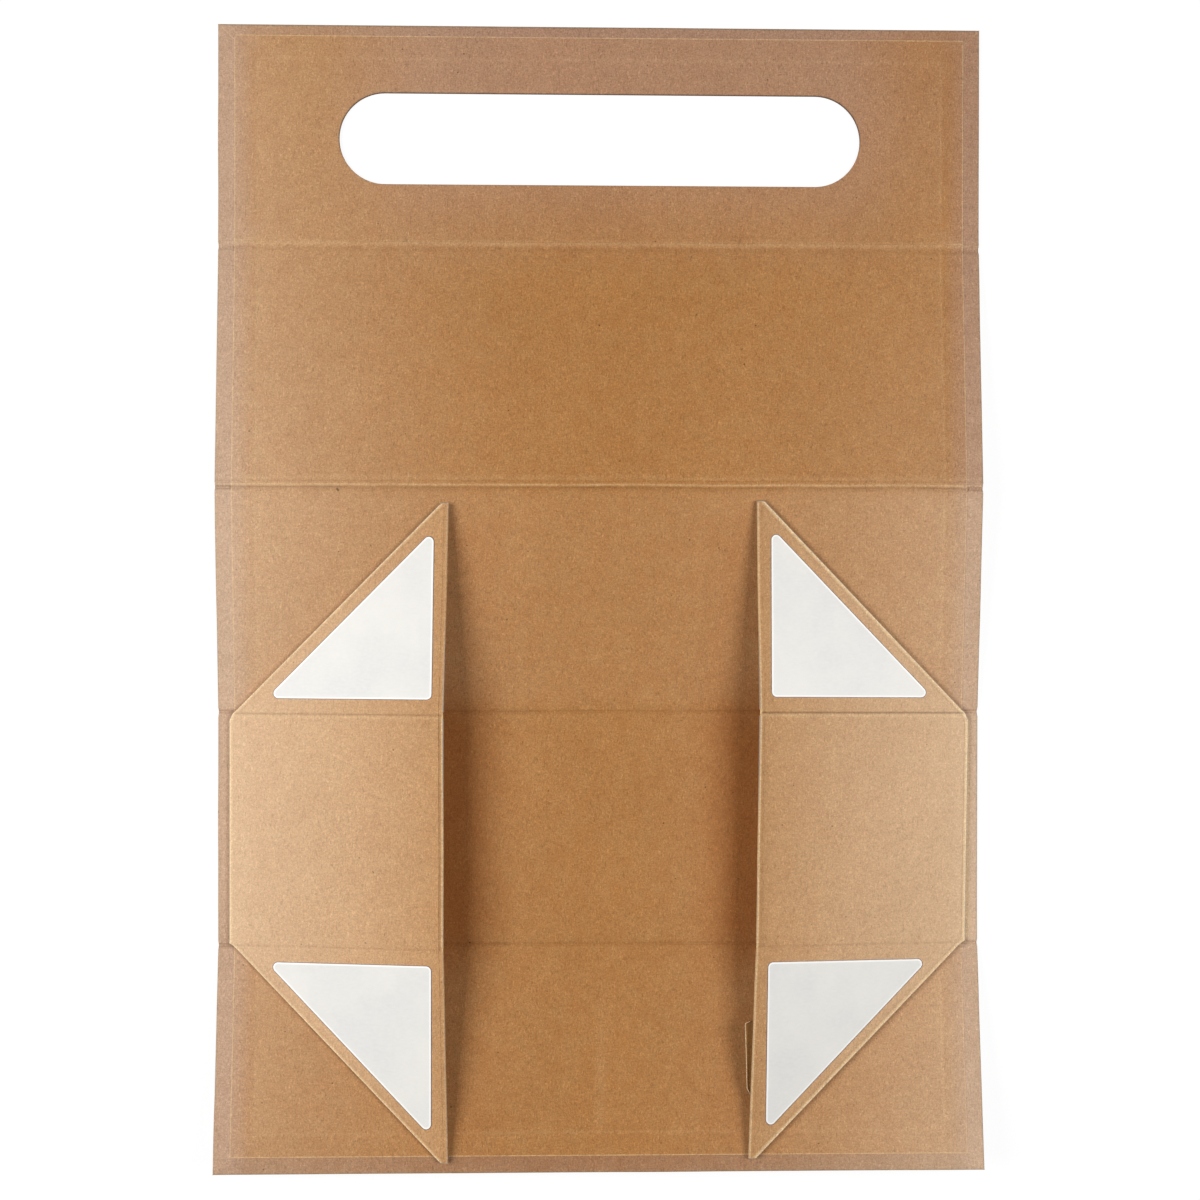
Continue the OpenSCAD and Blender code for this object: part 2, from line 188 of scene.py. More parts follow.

# %% [markdown]
# ## Finishes
#
# Kraft paper isn't one colour. Close up it has a fine grain, light and dark fibres lying
# all ways, soft mottling and the odd dark speck, and it goes pale where it is rubbed along
# an edge; the paler strokes at the creases are painted highlight. Each of these is a noise at
# its own scale in the object's own metres. From the mesh, as attributes, come how pale a place
# is with wear and painted highlight, how dark with painted shade, how whitish with the painted
# sheen of the side lamps, how rosy, and how deep the painted shade beside the end flaps is.

# %% Helpers for shader nodes
class Shader:
    """A material under construction: short ways to add its nodes and join them."""

    def __init__(self, name):
        self.material = bpy.data.materials.new(name)
        self.material.use_nodes = True
        self.tree = self.material.node_tree
        self.surface = self.tree.nodes["Principled BSDF"]
        self.place = self.tree.nodes.new("ShaderNodeTexCoord").outputs["Object"]

    def add(self, kind, inputs, **settings):
        """A node with its settings, and a socket or a value for each named input."""
        node = self.tree.nodes.new(kind)
        for key, value in settings.items():
            setattr(node, key, value)
        for key, source in inputs.items():
            self.join(source, node.inputs[key])
        return node

    def join(self, source, target):
        if isinstance(source, bpy.types.NodeSocket):
            self.tree.links.new(source, target)
        else:
            target.default_value = source

    def scaled(self, size, turn=0.0, warp=0.0):
        """Object coordinates times size, turned about Z, after a wander of warp metres."""
        place = self.place
        if warp:
            wander = self.add("ShaderNodeTexNoise", {"Scale": 60, "Vector": place})
            shift = self.add("ShaderNodeVectorMath",
                             {0: wander.outputs["Color"], 1: (warp, warp, warp), 2: place},
                             operation="MULTIPLY_ADD")
            place = shift.outputs[0]
        return self.add("ShaderNodeMapping", {"Scale": size, "Rotation": (0, 0, turn),
                                              "Vector": place}).outputs[0]

    def noise(self, vector, detail=2.0, roughness=0.5, curl=0.0):
        return self.add("ShaderNodeTexNoise", {
            "Scale": 1.0, "Detail": detail, "Roughness": roughness, "Distortion": curl,
            "Vector": vector}).outputs[0]

    def between(self, value, low, high, out_low=0.0, out_high=1.0):
        """Value carried from low..high to out_low..out_high, held at both ends."""
        return self.add("ShaderNodeMapRange", {
            "Value": value, "From Min": low, "From Max": high, "To Min": out_low,
            "To Max": out_high}, clamp=True).outputs[0]

    def math(self, operation, a, b):
        return self.add("ShaderNodeMath", {0: a, 1: b}, operation=operation).outputs[0]

    def times(self, a, b):
        return self.math("MULTIPLY", a, b)

    def mix(self, share, a, b, blend="MIX"):
        """Colours a and b mixed, each of them a socket or three numbers."""
        node = self.add("ShaderNodeMix", {}, data_type="RGBA", blend_type=blend)
        self.join(share, node.inputs["Factor"])
        for colour, target in zip((a, b), [s for s in node.inputs if s.type == "RGBA"]):
            plain = isinstance(colour, (tuple, list))
            self.join((*colour, 1.0) if plain else colour, target)
        return next(s for s in node.outputs if s.type == "RGBA")

    def specks(self, vector, widest):
        """1 inside sparse round specks: of the points strewn over the plane, one in four
        gets a radius, up to widest."""
        dots = self.add("ShaderNodeTexVoronoi", {"Scale": 1.0, "Vector": vector},
                        voronoi_dimensions="2D")
        pick = self.add("ShaderNodeSeparateColor", {0: dots.outputs["Color"]})
        radius = self.between(pick.outputs[0], 0.75, 1.0, 0.0, widest)
        inside = self.math("SUBTRACT", radius, dots.outputs["Distance"])
        return self.between(inside, 0.0, 0.25 * widest)

    def mark(self, place, length, width, turn):
        """1 inside one ellipse of the given length and width in millimetres."""
        node = self.add("ShaderNodeMapping", {
            "Location": (place[0] * MM, place[1] * MM, 0),
            "Rotation": (0, 0, math.radians(turn)),
            "Scale": (length * MM / 2, width * MM / 2, 1), "Vector": self.place},
            vector_type="TEXTURE")
        far = self.add("ShaderNodeVectorMath", {0: node.outputs[0]}, operation="LENGTH")
        return self.between(far.outputs["Value"], 0.6, 1.1, 1.0, 0.0)

    def attribute(self, name):
        return self.add("ShaderNodeAttribute", {}, attribute_name=name).outputs["Fac"]

    def paint(self, colour, roughness):
        self.join(colour, self.surface.inputs["Base Color"])
        self.join(roughness, self.surface.inputs["Roughness"])

    def bump(self, height, depth, strength=1.0):
        node = self.add("ShaderNodeBump", {"Distance": depth, "Strength": strength,
                                           "Height": height})
        self.join(node.outputs[0], self.surface.inputs["Normal"])

# %% [markdown]
# ### Kraft paper
#
# One function makes both kraft papers. The lining is the yellower brown of the inside;
# the wrap that is turned in round it is the back of a paler, pinker sheet. The painted sheen
# of the side lamps makes paper paler and softer in its grain, rosy paper is pinker, and
# painted shade beside the end flaps a deeper brown.
# A dozen larger marks stand where they catch the eye; all the others are random.

# %% Kraft paper
# Pale colours for wear and for painted highlight on edges and creases.
PALE, PALEST = (0.92, 0.68, 0.38), (0.93, 0.79, 0.62)
# The whitish colour of the painted sheen where the side lamps light the paper most.
SHEEN_WHITE = (0.95, 0.74, 0.53)
ROSY = (0.41, 0.255, 0.19)
# Painted shade: the deeper, redder brown beside the free edges of the end flaps.
FLAP_SHADE_BROWN = (0.80, 0.58, 0.38)
MARKS = (  # place in mm, length, width, turn in degrees, tone
    ((-115.9, 150.6), 2.0, 1.1, -55, 0.40), ((62.9, 213.9), 1.2, 0.6, 10, 0.42),
    ((65.5, 181.6), 0.8, 0.6, 0, 0.45), ((33.4, 222.8), 0.8, 0.6, 0, 0.60),
    ((14.1, 210.7), 1.4, 0.5, 30, 0.70), ((16.1, 202.5), 1.3, 0.5, 15, 0.70),
    ((102.6, 2.1), 0.9, 0.8, 0, 0.45), ((136.9, -3.0), 0.9, 0.6, 0, 0.60),
    ((-100.1, -17.6), 1.3, 0.8, -30, 0.50), ((-95.0, -45.0), 2.2, 0.5, 80, 0.65),
    ((-118.6, -14.8), 1.8, 0.6, -30, 0.75), ((-17.0, -46.6), 1.6, 0.5, 60, 1.22),
)


def kraft_paper(name, brown, seed_shift):
    """Brown paper: clouds, mottling, grain, fibres three ways and sparse dark specks. Per its
    attributes it goes pale with wear and painted highlight, whitish and softer in grain with
    the painted sheen of the side lamps, pinker where rosy, darker with painted shade, and a
    deeper, redder brown with the painted shade beside the end flaps."""
    shader = Shader(name)
    spots = [(shader.mark(*m[:4]), m[4]) for m in MARKS]
    away = (seed_shift, 0.37 * seed_shift, 0.0)
    shader.place = shader.add("ShaderNodeVectorMath", {0: shader.place, 1: away},
                              operation="ADD").outputs[0]

    cloud = shader.noise(shader.scaled((26, 20, 26)), detail=3)
    blotch = shader.noise(shader.scaled((150, 130, 150)), detail=2)
    mottle = shader.noise(shader.scaled((1000, 1050, 1000)), detail=3, roughness=0.6, curl=1.4)
    grain = shader.noise(shader.scaled((1550, 1550, 1550)), detail=2, roughness=0.6)
    across = shader.noise(shader.scaled((480, 1700, 900), warp=0.003), detail=1)
    upright = shader.noise(shader.scaled((1700, 520, 900), turn=0.35, warp=0.004), detail=1)
    slanting = shader.noise(shader.scaled((1700, 480, 900), turn=-0.9, warp=0.005), detail=1)

    tone = shader.between(cloud, 0.3, 0.7, 0.97, 1.03)
    for layer, low, high, darkest, lightest in (
            (blotch, 0.3, 0.7, 0.965, 1.035), (mottle, 0.3, 0.7, 0.87, 1.13),
            (grain, 0.3, 0.7, 0.83, 1.17), (across, 0.35, 0.65, 0.95, 1.05),
            (upright, 0.58, 0.72, 1.0, 1.22), (slanting, 0.58, 0.72, 1.0, 0.78)):
        tone = shader.times(tone, shader.between(layer, low, high, darkest, lightest))
    for size, turn, warp, widest, darkest in (
            ((75, 75, 1), 0.3, 0.0, 0.034, 0.42), ((36, 150, 1), 0.9, 0.004, 0.040, 0.72),
            ((120, 32, 1), 0.2, 0.004, 0.036, 0.78)):
        speck = shader.specks(shader.scaled(size, turn=turn, warp=warp), widest)
        tone = shader.times(tone, shader.between(speck, 0.0, 1.0, 1.0, darkest))
    painted_sheen = shader.attribute("painted_sheen")
    softened = shader.times(shader.math("SUBTRACT", 1.0, tone), painted_sheen)
    tone = shader.math("ADD", tone, shader.times(softened, 0.7))
    for spot, strength in spots:
        tone = shader.times(tone, shader.between(spot, 0.0, 1.0, 1.0, strength))
    wear_highlight_cut = shader.attribute("wear_highlight_cut")
    pale_share = shader.times(wear_highlight_cut, shader.between(mottle, 0.3, 0.6, 0.75, 1.0))
    warmth = shader.between(blotch, 0.35, 0.65, 0.0, 1.0)
    redder = [c * k for c, k in zip(brown, (1.01, 0.975, 0.93))]
    yellower = [c * k for c, k in zip(brown, (0.99, 1.02, 1.05))]
    colour = shader.mix(warmth, redder, yellower)
    colour = shader.mix(shader.attribute("rosy"), colour, ROSY)
    colour = shader.mix(painted_sheen, colour, SHEEN_WHITE)
    colour = shader.mix(shader.attribute("painted_flap_shade"), colour, FLAP_SHADE_BROWN, "MULTIPLY")
    colour = shader.mix(pale_share, colour, PALE)
    colour = shader.mix(shader.between(pale_share, 0.5, 0.95, 0.0, 0.7), colour, PALEST)
    shade = shader.between(shader.attribute("painted_shade"), 0.0, 1.0, 1.0, 0.25)
    tone = shader.times(tone, shade)
    scale = shader.add("ShaderNodeVectorMath", {0: colour, "Scale": tone},
                       operation="SCALE")
    shader.paint(scale.outputs[0], shader.between(mottle, 0.3, 0.7, 0.58, 0.70))
    shader.surface.inputs["Specular IOR Level"].default_value = 0.12
    fibres = shader.math("ADD", shader.times(mottle, 0.5),
                         shader.math("ADD", across, upright))
    shader.bump(fibres, 0.00005, 0.5)
    return shader.material


lining_paper = kraft_paper("lining_paper", (0.395, 0.182, 0.058), 0.0)
end_lining_paper = kraft_paper("end_lining_paper", (0.415, 0.190, 0.052), 2.7)
wrap_paper = kraft_paper("wrap_paper", (0.360, 0.182, 0.090), 5.3)
print("kraft finishes:", lining_paper.name, end_lining_paper.name, wrap_paper.name)

# %% [markdown]
# ### Greyboard, adhesive and release liner
#
# Greyboard is pressed waste paper: grey-brown with darker and lighter crumbs. It shows
# where the hand hole is punched through it. The release liner is smooth white paper whose
# rim gets a painted highlight, and the dark adhesive under it stands out round it as a thin
# darker line, in place of the shade at the liner's raised edge.

# %% Board, liner and adhesive
def board_finish():
    """Greyboard: layered crumbs, browner where its attribute marks the cut."""
    shader = Shader("cut_greyboard")
    crumbs = shader.noise(shader.scaled((700, 700, 1800)), detail=3, roughness=0.65)
    layers = shader.noise(shader.scaled((60, 60, 5200)), detail=1)
    colour = shader.mix(shader.between(crumbs, 0.3, 0.7), (0.30, 0.25, 0.20),
                        (0.46, 0.40, 0.33))
    cut = shader.mix(shader.between(layers, 0.3, 0.7), (0.05, 0.018, 0.012),
                     (0.14, 0.055, 0.035))
    colour = shader.mix(shader.attribute("wear_highlight_cut"), colour, cut)
    shader.paint(colour, 0.9)
    shader.bump(crumbs, 0.00012)
    return shader.material


def liner_finish():
    """White release paper: faint clouds and a weave-like grain; the rim is brighter, a painted
    highlight.
    """
    shader = Shader("release_paper")
    cloud = shader.noise(shader.scaled((45, 38, 45)), detail=4)
    grain = shader.noise(shader.scaled((500, 900, 500)), detail=2)
    warm = shader.mix(shader.between(cloud, 0.35, 0.65), (0.690, 0.676, 0.650),
                      (0.752, 0.730, 0.686))
    colour = shader.mix(shader.between(grain, 0.3, 0.7, 0.0, 0.35), warm,
                        (0.786, 0.773, 0.738))
    colour = shader.mix(shader.attribute("wear_highlight_cut"), colour, (0.93, 0.93, 0.915))
    shader.paint(colour, 0.42)
    shader.bump(grain, 0.00002, 0.5)
    return shader.material


def adhesive_finish():
    """Tacky film: grey-brown, a little glossy, with small bubbles."""
    shader = Shader("tacky_film")
    bubbles = shader.noise(shader.scaled((1100, 1100, 1100)), detail=2)
    colour = shader.mix(shader.between(bubbles, 0.3, 0.7), (0.16, 0.095, 0.075),
                        (0.26, 0.17, 0.13))
    shader.paint(colour, 0.35)
    shader.bump(bubbles, 0.00004)
    return shader.material


greyboard = board_finish()
release_paper = liner_finish()
tacky_film = adhesive_finish()
for name, obj in nodes.items():
    if name.endswith("board"):
        obj.data.materials.clear()
        obj.data.materials.append(greyboard)
print("boards with the greyboard finish:", sum(n.endswith("board") for n in nodes))

# %% [markdown]
# ## The chain of panels as a path
#
# Seen from the side, the five panels are a zigzag of straight lines: the front wall
# rises from the base, and the back wall and the lid lean on each other like a tent. A
# point on any sheet is given by x, by the way s along the chain from the front edge, and
# by its height n above the underside of the panel it is on. One function turns that
# into a point in space, so that every sheet follows the same folds.

# %% From way along the chain to a point in space
DEPTHS = np.array([FRONT, BASE, BACK, LID, FLAP])
lid_fall = math.degrees(math.asin(BACK * math.sin(math.radians(BACK_RISE)) / LID))
SLOPES = np.radians([-FRONT_RISE, 0.0, BACK_RISE, -lid_fall, 0.0])
STARTS = np.concatenate([[0.0], np.cumsum(DEPTHS)])
FRONT_CREASE, BASE_CREASE, LID_CREASE, FLAP_CREASE, FLAP_END = STARTS[1:]
ALONG = np.stack([np.cos(SLOPES), np.sin(SLOPES)], axis=1)
UPWARD = np.stack([-np.sin(SLOPES), np.cos(SLOPES)], axis=1)
CORNERS = np.zeros((5, 2))
CORNERS[1] = (-BASE / 2, FOLD_LEVEL)
CORNERS[0] = CORNERS[1] - DEPTHS[0] * ALONG[0]
for i in (2, 3, 4):
    CORNERS[i] = CORNERS[i - 1] + DEPTHS[i - 1] * ALONG[i - 1]


def smooth(low, high, value):
    """0 below low, 1 above high, and between them 3t^2 - 2t^3 of the way t."""
    t = np.clip((np.asarray(value) - low) / (high - low), 0, 1)
    return t * t * (3 - 2 * t)


def bell(distance, width, power=2):
    """1 at distance 0, falling off to both sides: e to the minus (distance / width)^power."""
    return np.exp(-(distance / width) ** power)


def on_chain(x, s, n):
    """The point in metres: corner of the panel, plus s along it, plus n - fold level
    upward from it. Within 2 mm of a crease it slides from one panel's answer to the
    next one's, so that a sheet bends instead of breaking."""
    x, s, n = np.broadcast_arrays(*[np.asarray(v, float) for v in (x, s, n)])
    yz = CORNERS[0] + s[..., None] * ALONG[0] + (n - FOLD_LEVEL)[..., None] * UPWARD[0]
    for i in range(1, 5):
        way = (s - STARTS[i])[..., None]
        here = CORNERS[i] + way * ALONG[i] + (n - FOLD_LEVEL)[..., None] * UPWARD[i]
        yz = yz + (here - yz) * smooth(-CREASE_HALF, CREASE_HALF, way)
    return np.concatenate([x[..., None], yz], axis=-1) * MM


print("creases along the chain, mm:", np.round(STARTS[1:], 1))

# %% [markdown]
# ## Unevenness
#
# Real paper is never quite flat. A sum of a few sine waves in random directions gives a
# soft unevenness that is the same each time the script runs.

# %% Soft unevenness
def ripple(a, b, length, seed):
    """Mean of nine sine waves, each with its own direction, phase and a wavelength near
    length, times two, so that it stays mostly between -1 and 1."""
    draw = np.random.RandomState(seed)
    angle, phase = draw.uniform(0, 2 * np.pi, (2, 9))
    pace = 2 * np.pi / (length * draw.uniform(0.6, 1.7, 9))
    a, b = np.broadcast_arrays(np.asarray(a, float), np.asarray(b, float))
    waves = np.sin(a[..., None] * pace * np.cos(angle)
                   + b[..., None] * pace * np.sin(angle) + phase)
    return 2 * waves.mean(axis=-1)

# %% [markdown]
# ## From grids to meshes
#
# Every sheet is a grid of points, worked out as whole arrays. A piece is one or more such
# grids. Its Solidify modifier gives the paper its 0.15 mm, inwards from the face that
# shows.

# %% From grids to a piece
WELD = 2e-6
pieces = {}


def patch(points, wear_highlight_cut=0.0, painted_shade=0.0, ring=False, turned=False, capped=False):
    """One grid: rows by columns of points, how pale each is with wear and painted highlight
    and how dark with painted shade, whether its rows close into rings, whether its faces turn
    over, and whether its ends get a cap."""
    wear_highlight_cut, painted_shade = [np.clip(np.broadcast_to(np.asarray(v, float), points.shape[:2]), 0, 1)
                   for v in (wear_highlight_cut, painted_shade)]
    return dict(points=points, wear_highlight_cut=wear_highlight_cut, painted_shade=painted_shade, ring=ring, turned=turned,
                capped=capped)


def faces_of(grid, first):
    """Quads between neighbouring rows and columns; along a row, then up to the next."""
    rows, columns = grid["points"].shape[:2]
    here = np.arange(columns if grid["ring"] else columns - 1)[None, :]
    after = (here + 1) % columns
    row = np.arange(rows - 1)[:, None] * columns
    quads = np.stack([row + here, row + after, row + after + columns,
                      row + here + columns], axis=-1).reshape(-1, 4)
    faces = (quads[:, ::-1] if grid["turned"] else quads) + first
    faces = faces.tolist()
    if grid["capped"]:
        ring = np.arange(columns)
        ends = [ring[::-1], ring + (rows - 1) * columns]
        faces += [((e[::-1] if grid["turned"] else e) + first).tolist() for e in ends]
    return faces


def panel_tones(points):
    """How much painted sheen, rosy tint and painted shade the papers of the panels get. The
    painted sheen of the side lamps grows with the square of the distance from the middle, on
    the left more than on the right of the lid and flap. The margin over the turn-in and the
    closing flap are rosy. Beside the free edges of the end flaps a deeper brown is painted in
    as shade."""
    x, y = points[:, 0] / MM, points[:, 1] / MM
    left = np.interp(y, [-149, -52, 52, 152, 259, 358], [0.14, 0.20, 0.25, 0.24, 0.19, 0.16])
    right = np.interp(y, [-149, -54, -50, 50, 54, 148, 156, 358],
                      [0.28, 0.24, 0.34, 0.34, 0.22, 0.19, 0.09, 0.0])
    outward = np.clip((np.abs(x) / 150) ** 2, 0, 1.15)
    painted_sheen = outward * np.where(x < 0, left, right)
    painted_sheen = painted_sheen + 0.03 * smooth(50, 60, y) * (1 - smooth(145, 155, y))
    inward = HALF_WIDTH - np.abs(x)
    raised = smooth(LINING_BORDER - 0.2, LINING_BORDER, inward)
    raised = raised * (1 - smooth(TURN_IN - 1, TURN_IN + 1, inward))
    margin = np.where(x < 0, 0.48, 0.40) * (1 - smooth(LINING_BORDER, TURN_IN + 2, inward))
    up_flap = 0.5 * smooth(235, 322, y) * smooth(-135, -70, x)
    up_flap = up_flap * (1 - 0.6 * smooth(105, 145, x))
    # Painted shade on the base beside the free edges of the end flaps, where they shade it.
    hidden = np.clip(202 - np.abs(y), 74, 118)
    flap_shade = smooth(30, 66, np.abs(x)) ** 1.5 * (1 - smooth(67, hidden, np.abs(x)))
    flap_shade = flap_shade * (1 - 0.7 * smooth(40, 75, np.abs(y)))
    flap_shade = flap_shade * (1 - smooth(128, 150, np.abs(y)))
    return painted_sheen - 0.035 * raised, np.maximum(margin, up_flap), flap_shade


def end_tones(points):
    """On the end flaps the painted sheen of the side lamps grows from the free edge to the
    hinge.
    """
    x = np.abs(points[:, 0]) / MM
    return np.interp(x, [68, 80, 110, 155, 164], [0.13, 0.18, 0.29, 0.42, 0.49]), 0, 0


def make_piece(name, grids, finish, thickness=PAPER, tones=None):
    """Joins grids into one mesh at the origin, gives it finish and thickness, and
    keeps it in pieces."""
    points = np.concatenate([g["points"].reshape(-1, 3) for g in grids])
    wear_highlight_cut, painted_shade = [np.concatenate([g[key].reshape(-1) for g in grids])
                   for key in ("wear_highlight_cut", "painted_shade")]
    faces, first = [], 0
    for g in grids:
        faces += faces_of(g, first)
        first += g["points"].shape[0] * g["points"].shape[1]
    mesh = bpy.data.meshes.new(name)
    mesh.from_pydata(points.tolist(), [], faces)
    toned = tones(points) if tones else (0, 0, 0)
    keys = ("wear_highlight_cut", "painted_shade", "painted_sheen", "rosy", "painted_flap_shade")
    for key, value in zip(keys, (wear_highlight_cut, painted_shade, *toned)):
        mesh.attributes.new(key, "FLOAT", "POINT").data.foreach_set(
            "value", (value + 0 * wear_highlight_cut).astype(np.float32))
    bm = bmesh.new()
    bm.from_mesh(mesh)
    bmesh.ops.remove_doubles(bm, verts=bm.verts, dist=WELD)
    bm.to_mesh(mesh)
    bm.free()
    mesh.shade_smooth()
    mesh.materials.append(finish)
    piece = bpy.data.objects.new(name, mesh)
    bpy.context.scene.collection.objects.link(piece)
    if thickness:
        solid = piece.modifiers.new("paper", "SOLIDIFY")
        solid.thickness = thickness * MM
        solid.offset = -1
    print(f"{name}: {len(mesh.vertices)} points, {len(mesh.polygons)} faces")
    pieces[name] = piece


def lines(low, high, step, *clusters, closest=0.03):
    """Grid lines from low to high about every step, with closer ones where clusters
    (centre, offsets) ask for them, but never closer than closest."""
    count = max(2, int(round((high - low) / step)) + 1)
    extra = [c + np.asarray(o) for c, o in clusters]
    every = np.concatenate([np.linspace(low, high, count), *extra])
    every = np.sort(every[(every >= low) & (every <= high)])
    keep = np.concatenate([[True], np.diff(every) > closest])
    return every[keep]

# %% [markdown]
# ## How the sheets dip at the creases
#
# Between two boards there is a gap, and the papers are pressed into it. At the two base
# creases the walls stand up a little, so the lining only shows a fine line there. At the
# lid crease the line is sharper, with strokes of painted highlight beside it, and the flap
# crease is wide and shallow. Out at the sides, where only the turned-in wrap crosses the gap,
# the grooves are deeper. Along every crease painted shade and painted highlight are added to
# the dip.

# %% The dips of the sheets
GROOVES = (  # place, depth, half width of the floor, half width at the top, ridge
    (FRONT_CREASE, 0.40, 0.05, 1.1, 0.02),
    (BASE_CREASE, 0.40, 0.05, 1.1, 0.02),
    (LID_CREASE, 0.36, 0.12, 1.15, 0.0),
    (FLAP_CREASE, 0.17, 0.20, 1.9, 0.05),
)
SIDE_DEPTHS = (0.70, 0.70, 0.95, 0.45)
# In each stroke the pale column is painted highlight and the dusky column painted shade.
STROKES = (  # crease, distance past its line, half width of the stroke, pale, dusky
    (0, 0.0, 0.42, 0.0, 0.13), (0, 2.0, 2.2, 0.0, 0.04),
    (1, 0.0, 0.42, 0.0, 0.10), (1, 1.2, 1.4, 0.0, 0.03),
    (2, 0.0, 0.34, 0.0, 0.30), (2, -0.9, 0.7, 0.0, 0.10), (2, 1.0, 0.42, 0.24, 0.0),
    (2, 4.0, 0.60, 0.10, 0.0),
    (3, 0.0, 0.40, 0.0, 0.07), (3, 2.0, 1.2, 0.11, 0.0),
)


def crease_dip(x, s):
    """Sum over the creases of depth times (1 - smooth step of the distance from the
    crease line), less a ridge beside it. The line wanders by a tenth of a millimetre or
    two, and the depth goes over to SIDE_DEPTHS at the sides of the panels."""
    total = 0.0
    beyond = smooth(HALF_WIDTH - 7.0, HALF_WIDTH - 2.0, np.abs(x))
    for k, (at, depth, floor_half, top_half, ridge) in enumerate(GROOVES):
        away = np.abs(s - at - 0.16 * ripple(x, 0.0, 60.0, 40 + k)
                      - 0.05 * ripple(x, 0.0, 9.0, 50 + k))
        deep = depth * (1 + 0.18 * ripple(x, 0.0, 14.0, 60 + k))
        deep = deep + (SIDE_DEPTHS[k] - deep) * beyond
        total = total + deep * (1 - smooth(floor_half, top_half, away))
        total = total - ridge * bell(away - top_half - 0.5, 0.55)
    return total


def from_edge(x, s):
    """Distance from the nearest free edge of the panels. The lining was glued on nearer
    to the edge of the closing flap, so there it counts FLAP_SHIFT more."""
    return np.minimum(HALF_WIDTH - np.abs(x), np.minimum(s, FLAP_END - s + FLAP_SHIFT))


def lining_height(x, s):
    """Top of the lining: over the turned-in wrap it lies a paper's thickness higher."""
    d = from_edge(x, s)
    over_side = 1 - smooth(TURN_IN - 0.5, TURN_IN + 1.0, HALF_WIDTH - np.abs(x))
    over_end = 1 - smooth(TURN_IN - 4, TURN_IN + 4, np.minimum(s, FLAP_END - s))
    step = PAPER * np.maximum(over_side, over_end)
    swell = 0.05 * ripple(x, s, 70.0, 3) + 0.02 * ripple(x, s, 16.0, 4)
    swell = swell * smooth(LINING_BORDER, LINING_BORDER + 6, d)
    return LINING_TOP - PAPER + step + swell - crease_dip(x, s)


def wandering(x, s, k):
    """Distance past crease k, whose line wanders by a tenth of a millimetre or two."""
    return s - GROOVES[k][0] - 0.16 * ripple(x, 0.0, 60.0, 40 + k)


def crease_marks(x, s):
    """Strokes of painted highlight and painted shade along the creases, each a bell across
    its line that grows weaker and stronger along it."""
    pale = dark = 0.0
    for j, (k, past, width, light, dusk) in enumerate(STROKES):
        stroke = bell(wandering(x, s, k) - past, width)
        stroke = stroke * (1 + 0.35 * ripple(x, 0.0, 22.0, 200 + j))
        pale, dark = pale + light * stroke, dark + dusk * stroke
    return pale, dark


def lining_marks(x, s):
    """How pale and how dark in painted shade: pale along its cut edge, a little over the end
    of the turn-in and in one faint upright line where the sheet was once folded, plus the
    painted highlight and shade of the creases."""
    d = from_edge(x, s)
    edge = 0.42 * (1 - smooth(0.1, 0.5, d - LINING_BORDER))
    step = 0.05 * bell(d - TURN_IN - 0.4, 0.7)
    fold = 0.05 * bell(x + 0.3 - 0.012 * (s - 15), 0.4)
    fold = fold * smooth(12, 22, s) * (1 - smooth(100, 114, s))
    pale, dark = crease_marks(x, s)
    return edge + step + fold + pale, dark

# %% [markdown]
# ## The lining
#
# One sheet on the real box. Two of the creases it crosses are joints, so it is three
# pieces here. The first ends just past the lid crease and the second just past the flap
# crease, where the sheet is flat again: there the seam doesn't show, and each piece
# bends across its crease.

# %% Grid lines of the panels
EDGE_LINES = [0, 0.12, 0.3, 0.6, 1.1, 2.0, 3.5]
STEP_LINES = [-1.2, -0.8, -0.4, 0, 0.4, 0.8, 1.2, 1.8]
CREASE_LINES = np.concatenate([np.arange(-3.6, 3.7, 0.2), [-6, -4.6, 4.6, 6]])
SEAM = 2.6
body_end = LID_CREASE + SEAM
lid_end = FLAP_CREASE + SEAM
crease_rows = [(c, CREASE_LINES) for c in STARTS[1:5]]


def mirrored(half_lines):
    """Lines from the middle outwards, and the same on the other side."""
    return np.unique(np.round(np.concatenate([-half_lines, half_lines]), 4))


lining_half = HALF_WIDTH - LINING_BORDER
lining_x = mirrored(lines(0, lining_half, 3.4,
                          (lining_half, -np.array(EDGE_LINES)),
                          (HALF_WIDTH - TURN_IN, STEP_LINES)))
lining_rows = {
    "lining_body": lines(LINING_BORDER, body_end, 3.6, *crease_rows,
                         (LINING_BORDER, EDGE_LINES), (TURN_IN, STEP_LINES)),
    "lining_lid": lines(body_end, lid_end, 3.6, *crease_rows),
}

# %% The lining on the body and on the lid
for name, rows in lining_rows.items():
    x, s = np.meshgrid(lining_x, rows)
    grid = patch(on_chain(x, s, lining_height(x, s)), *lining_marks(x, s))
    make_piece(name, [grid], lining_paper, tones=panel_tones)

# %% [markdown]
# ## Round the hand hole
#
# The closing flap has a long hole with round ends. A grid that runs round the hole fits
# it: each line starts on the edge of the hole and ends on the rectangle outside it, and
# the rows are rings that change from one shape into the other. Near the rectangle the
# rings are true insets of it, so that the step over the turn-in stays crisp.

# %% Rings round the hand hole
hole_reach = HOLE_LENGTH / 2 - HOLE_RADIUS
hole_middle = FLAP_END - HOLE_TO_EDGE - HOLE_RADIUS
HOLE_LINES = np.array([0, 0.08, 0.2, 0.4, 0.8, 1.6, 3.0])
LINING_DENT, BOARD_DENT, DENT_FALL = 0.22, 0.20, 0.35


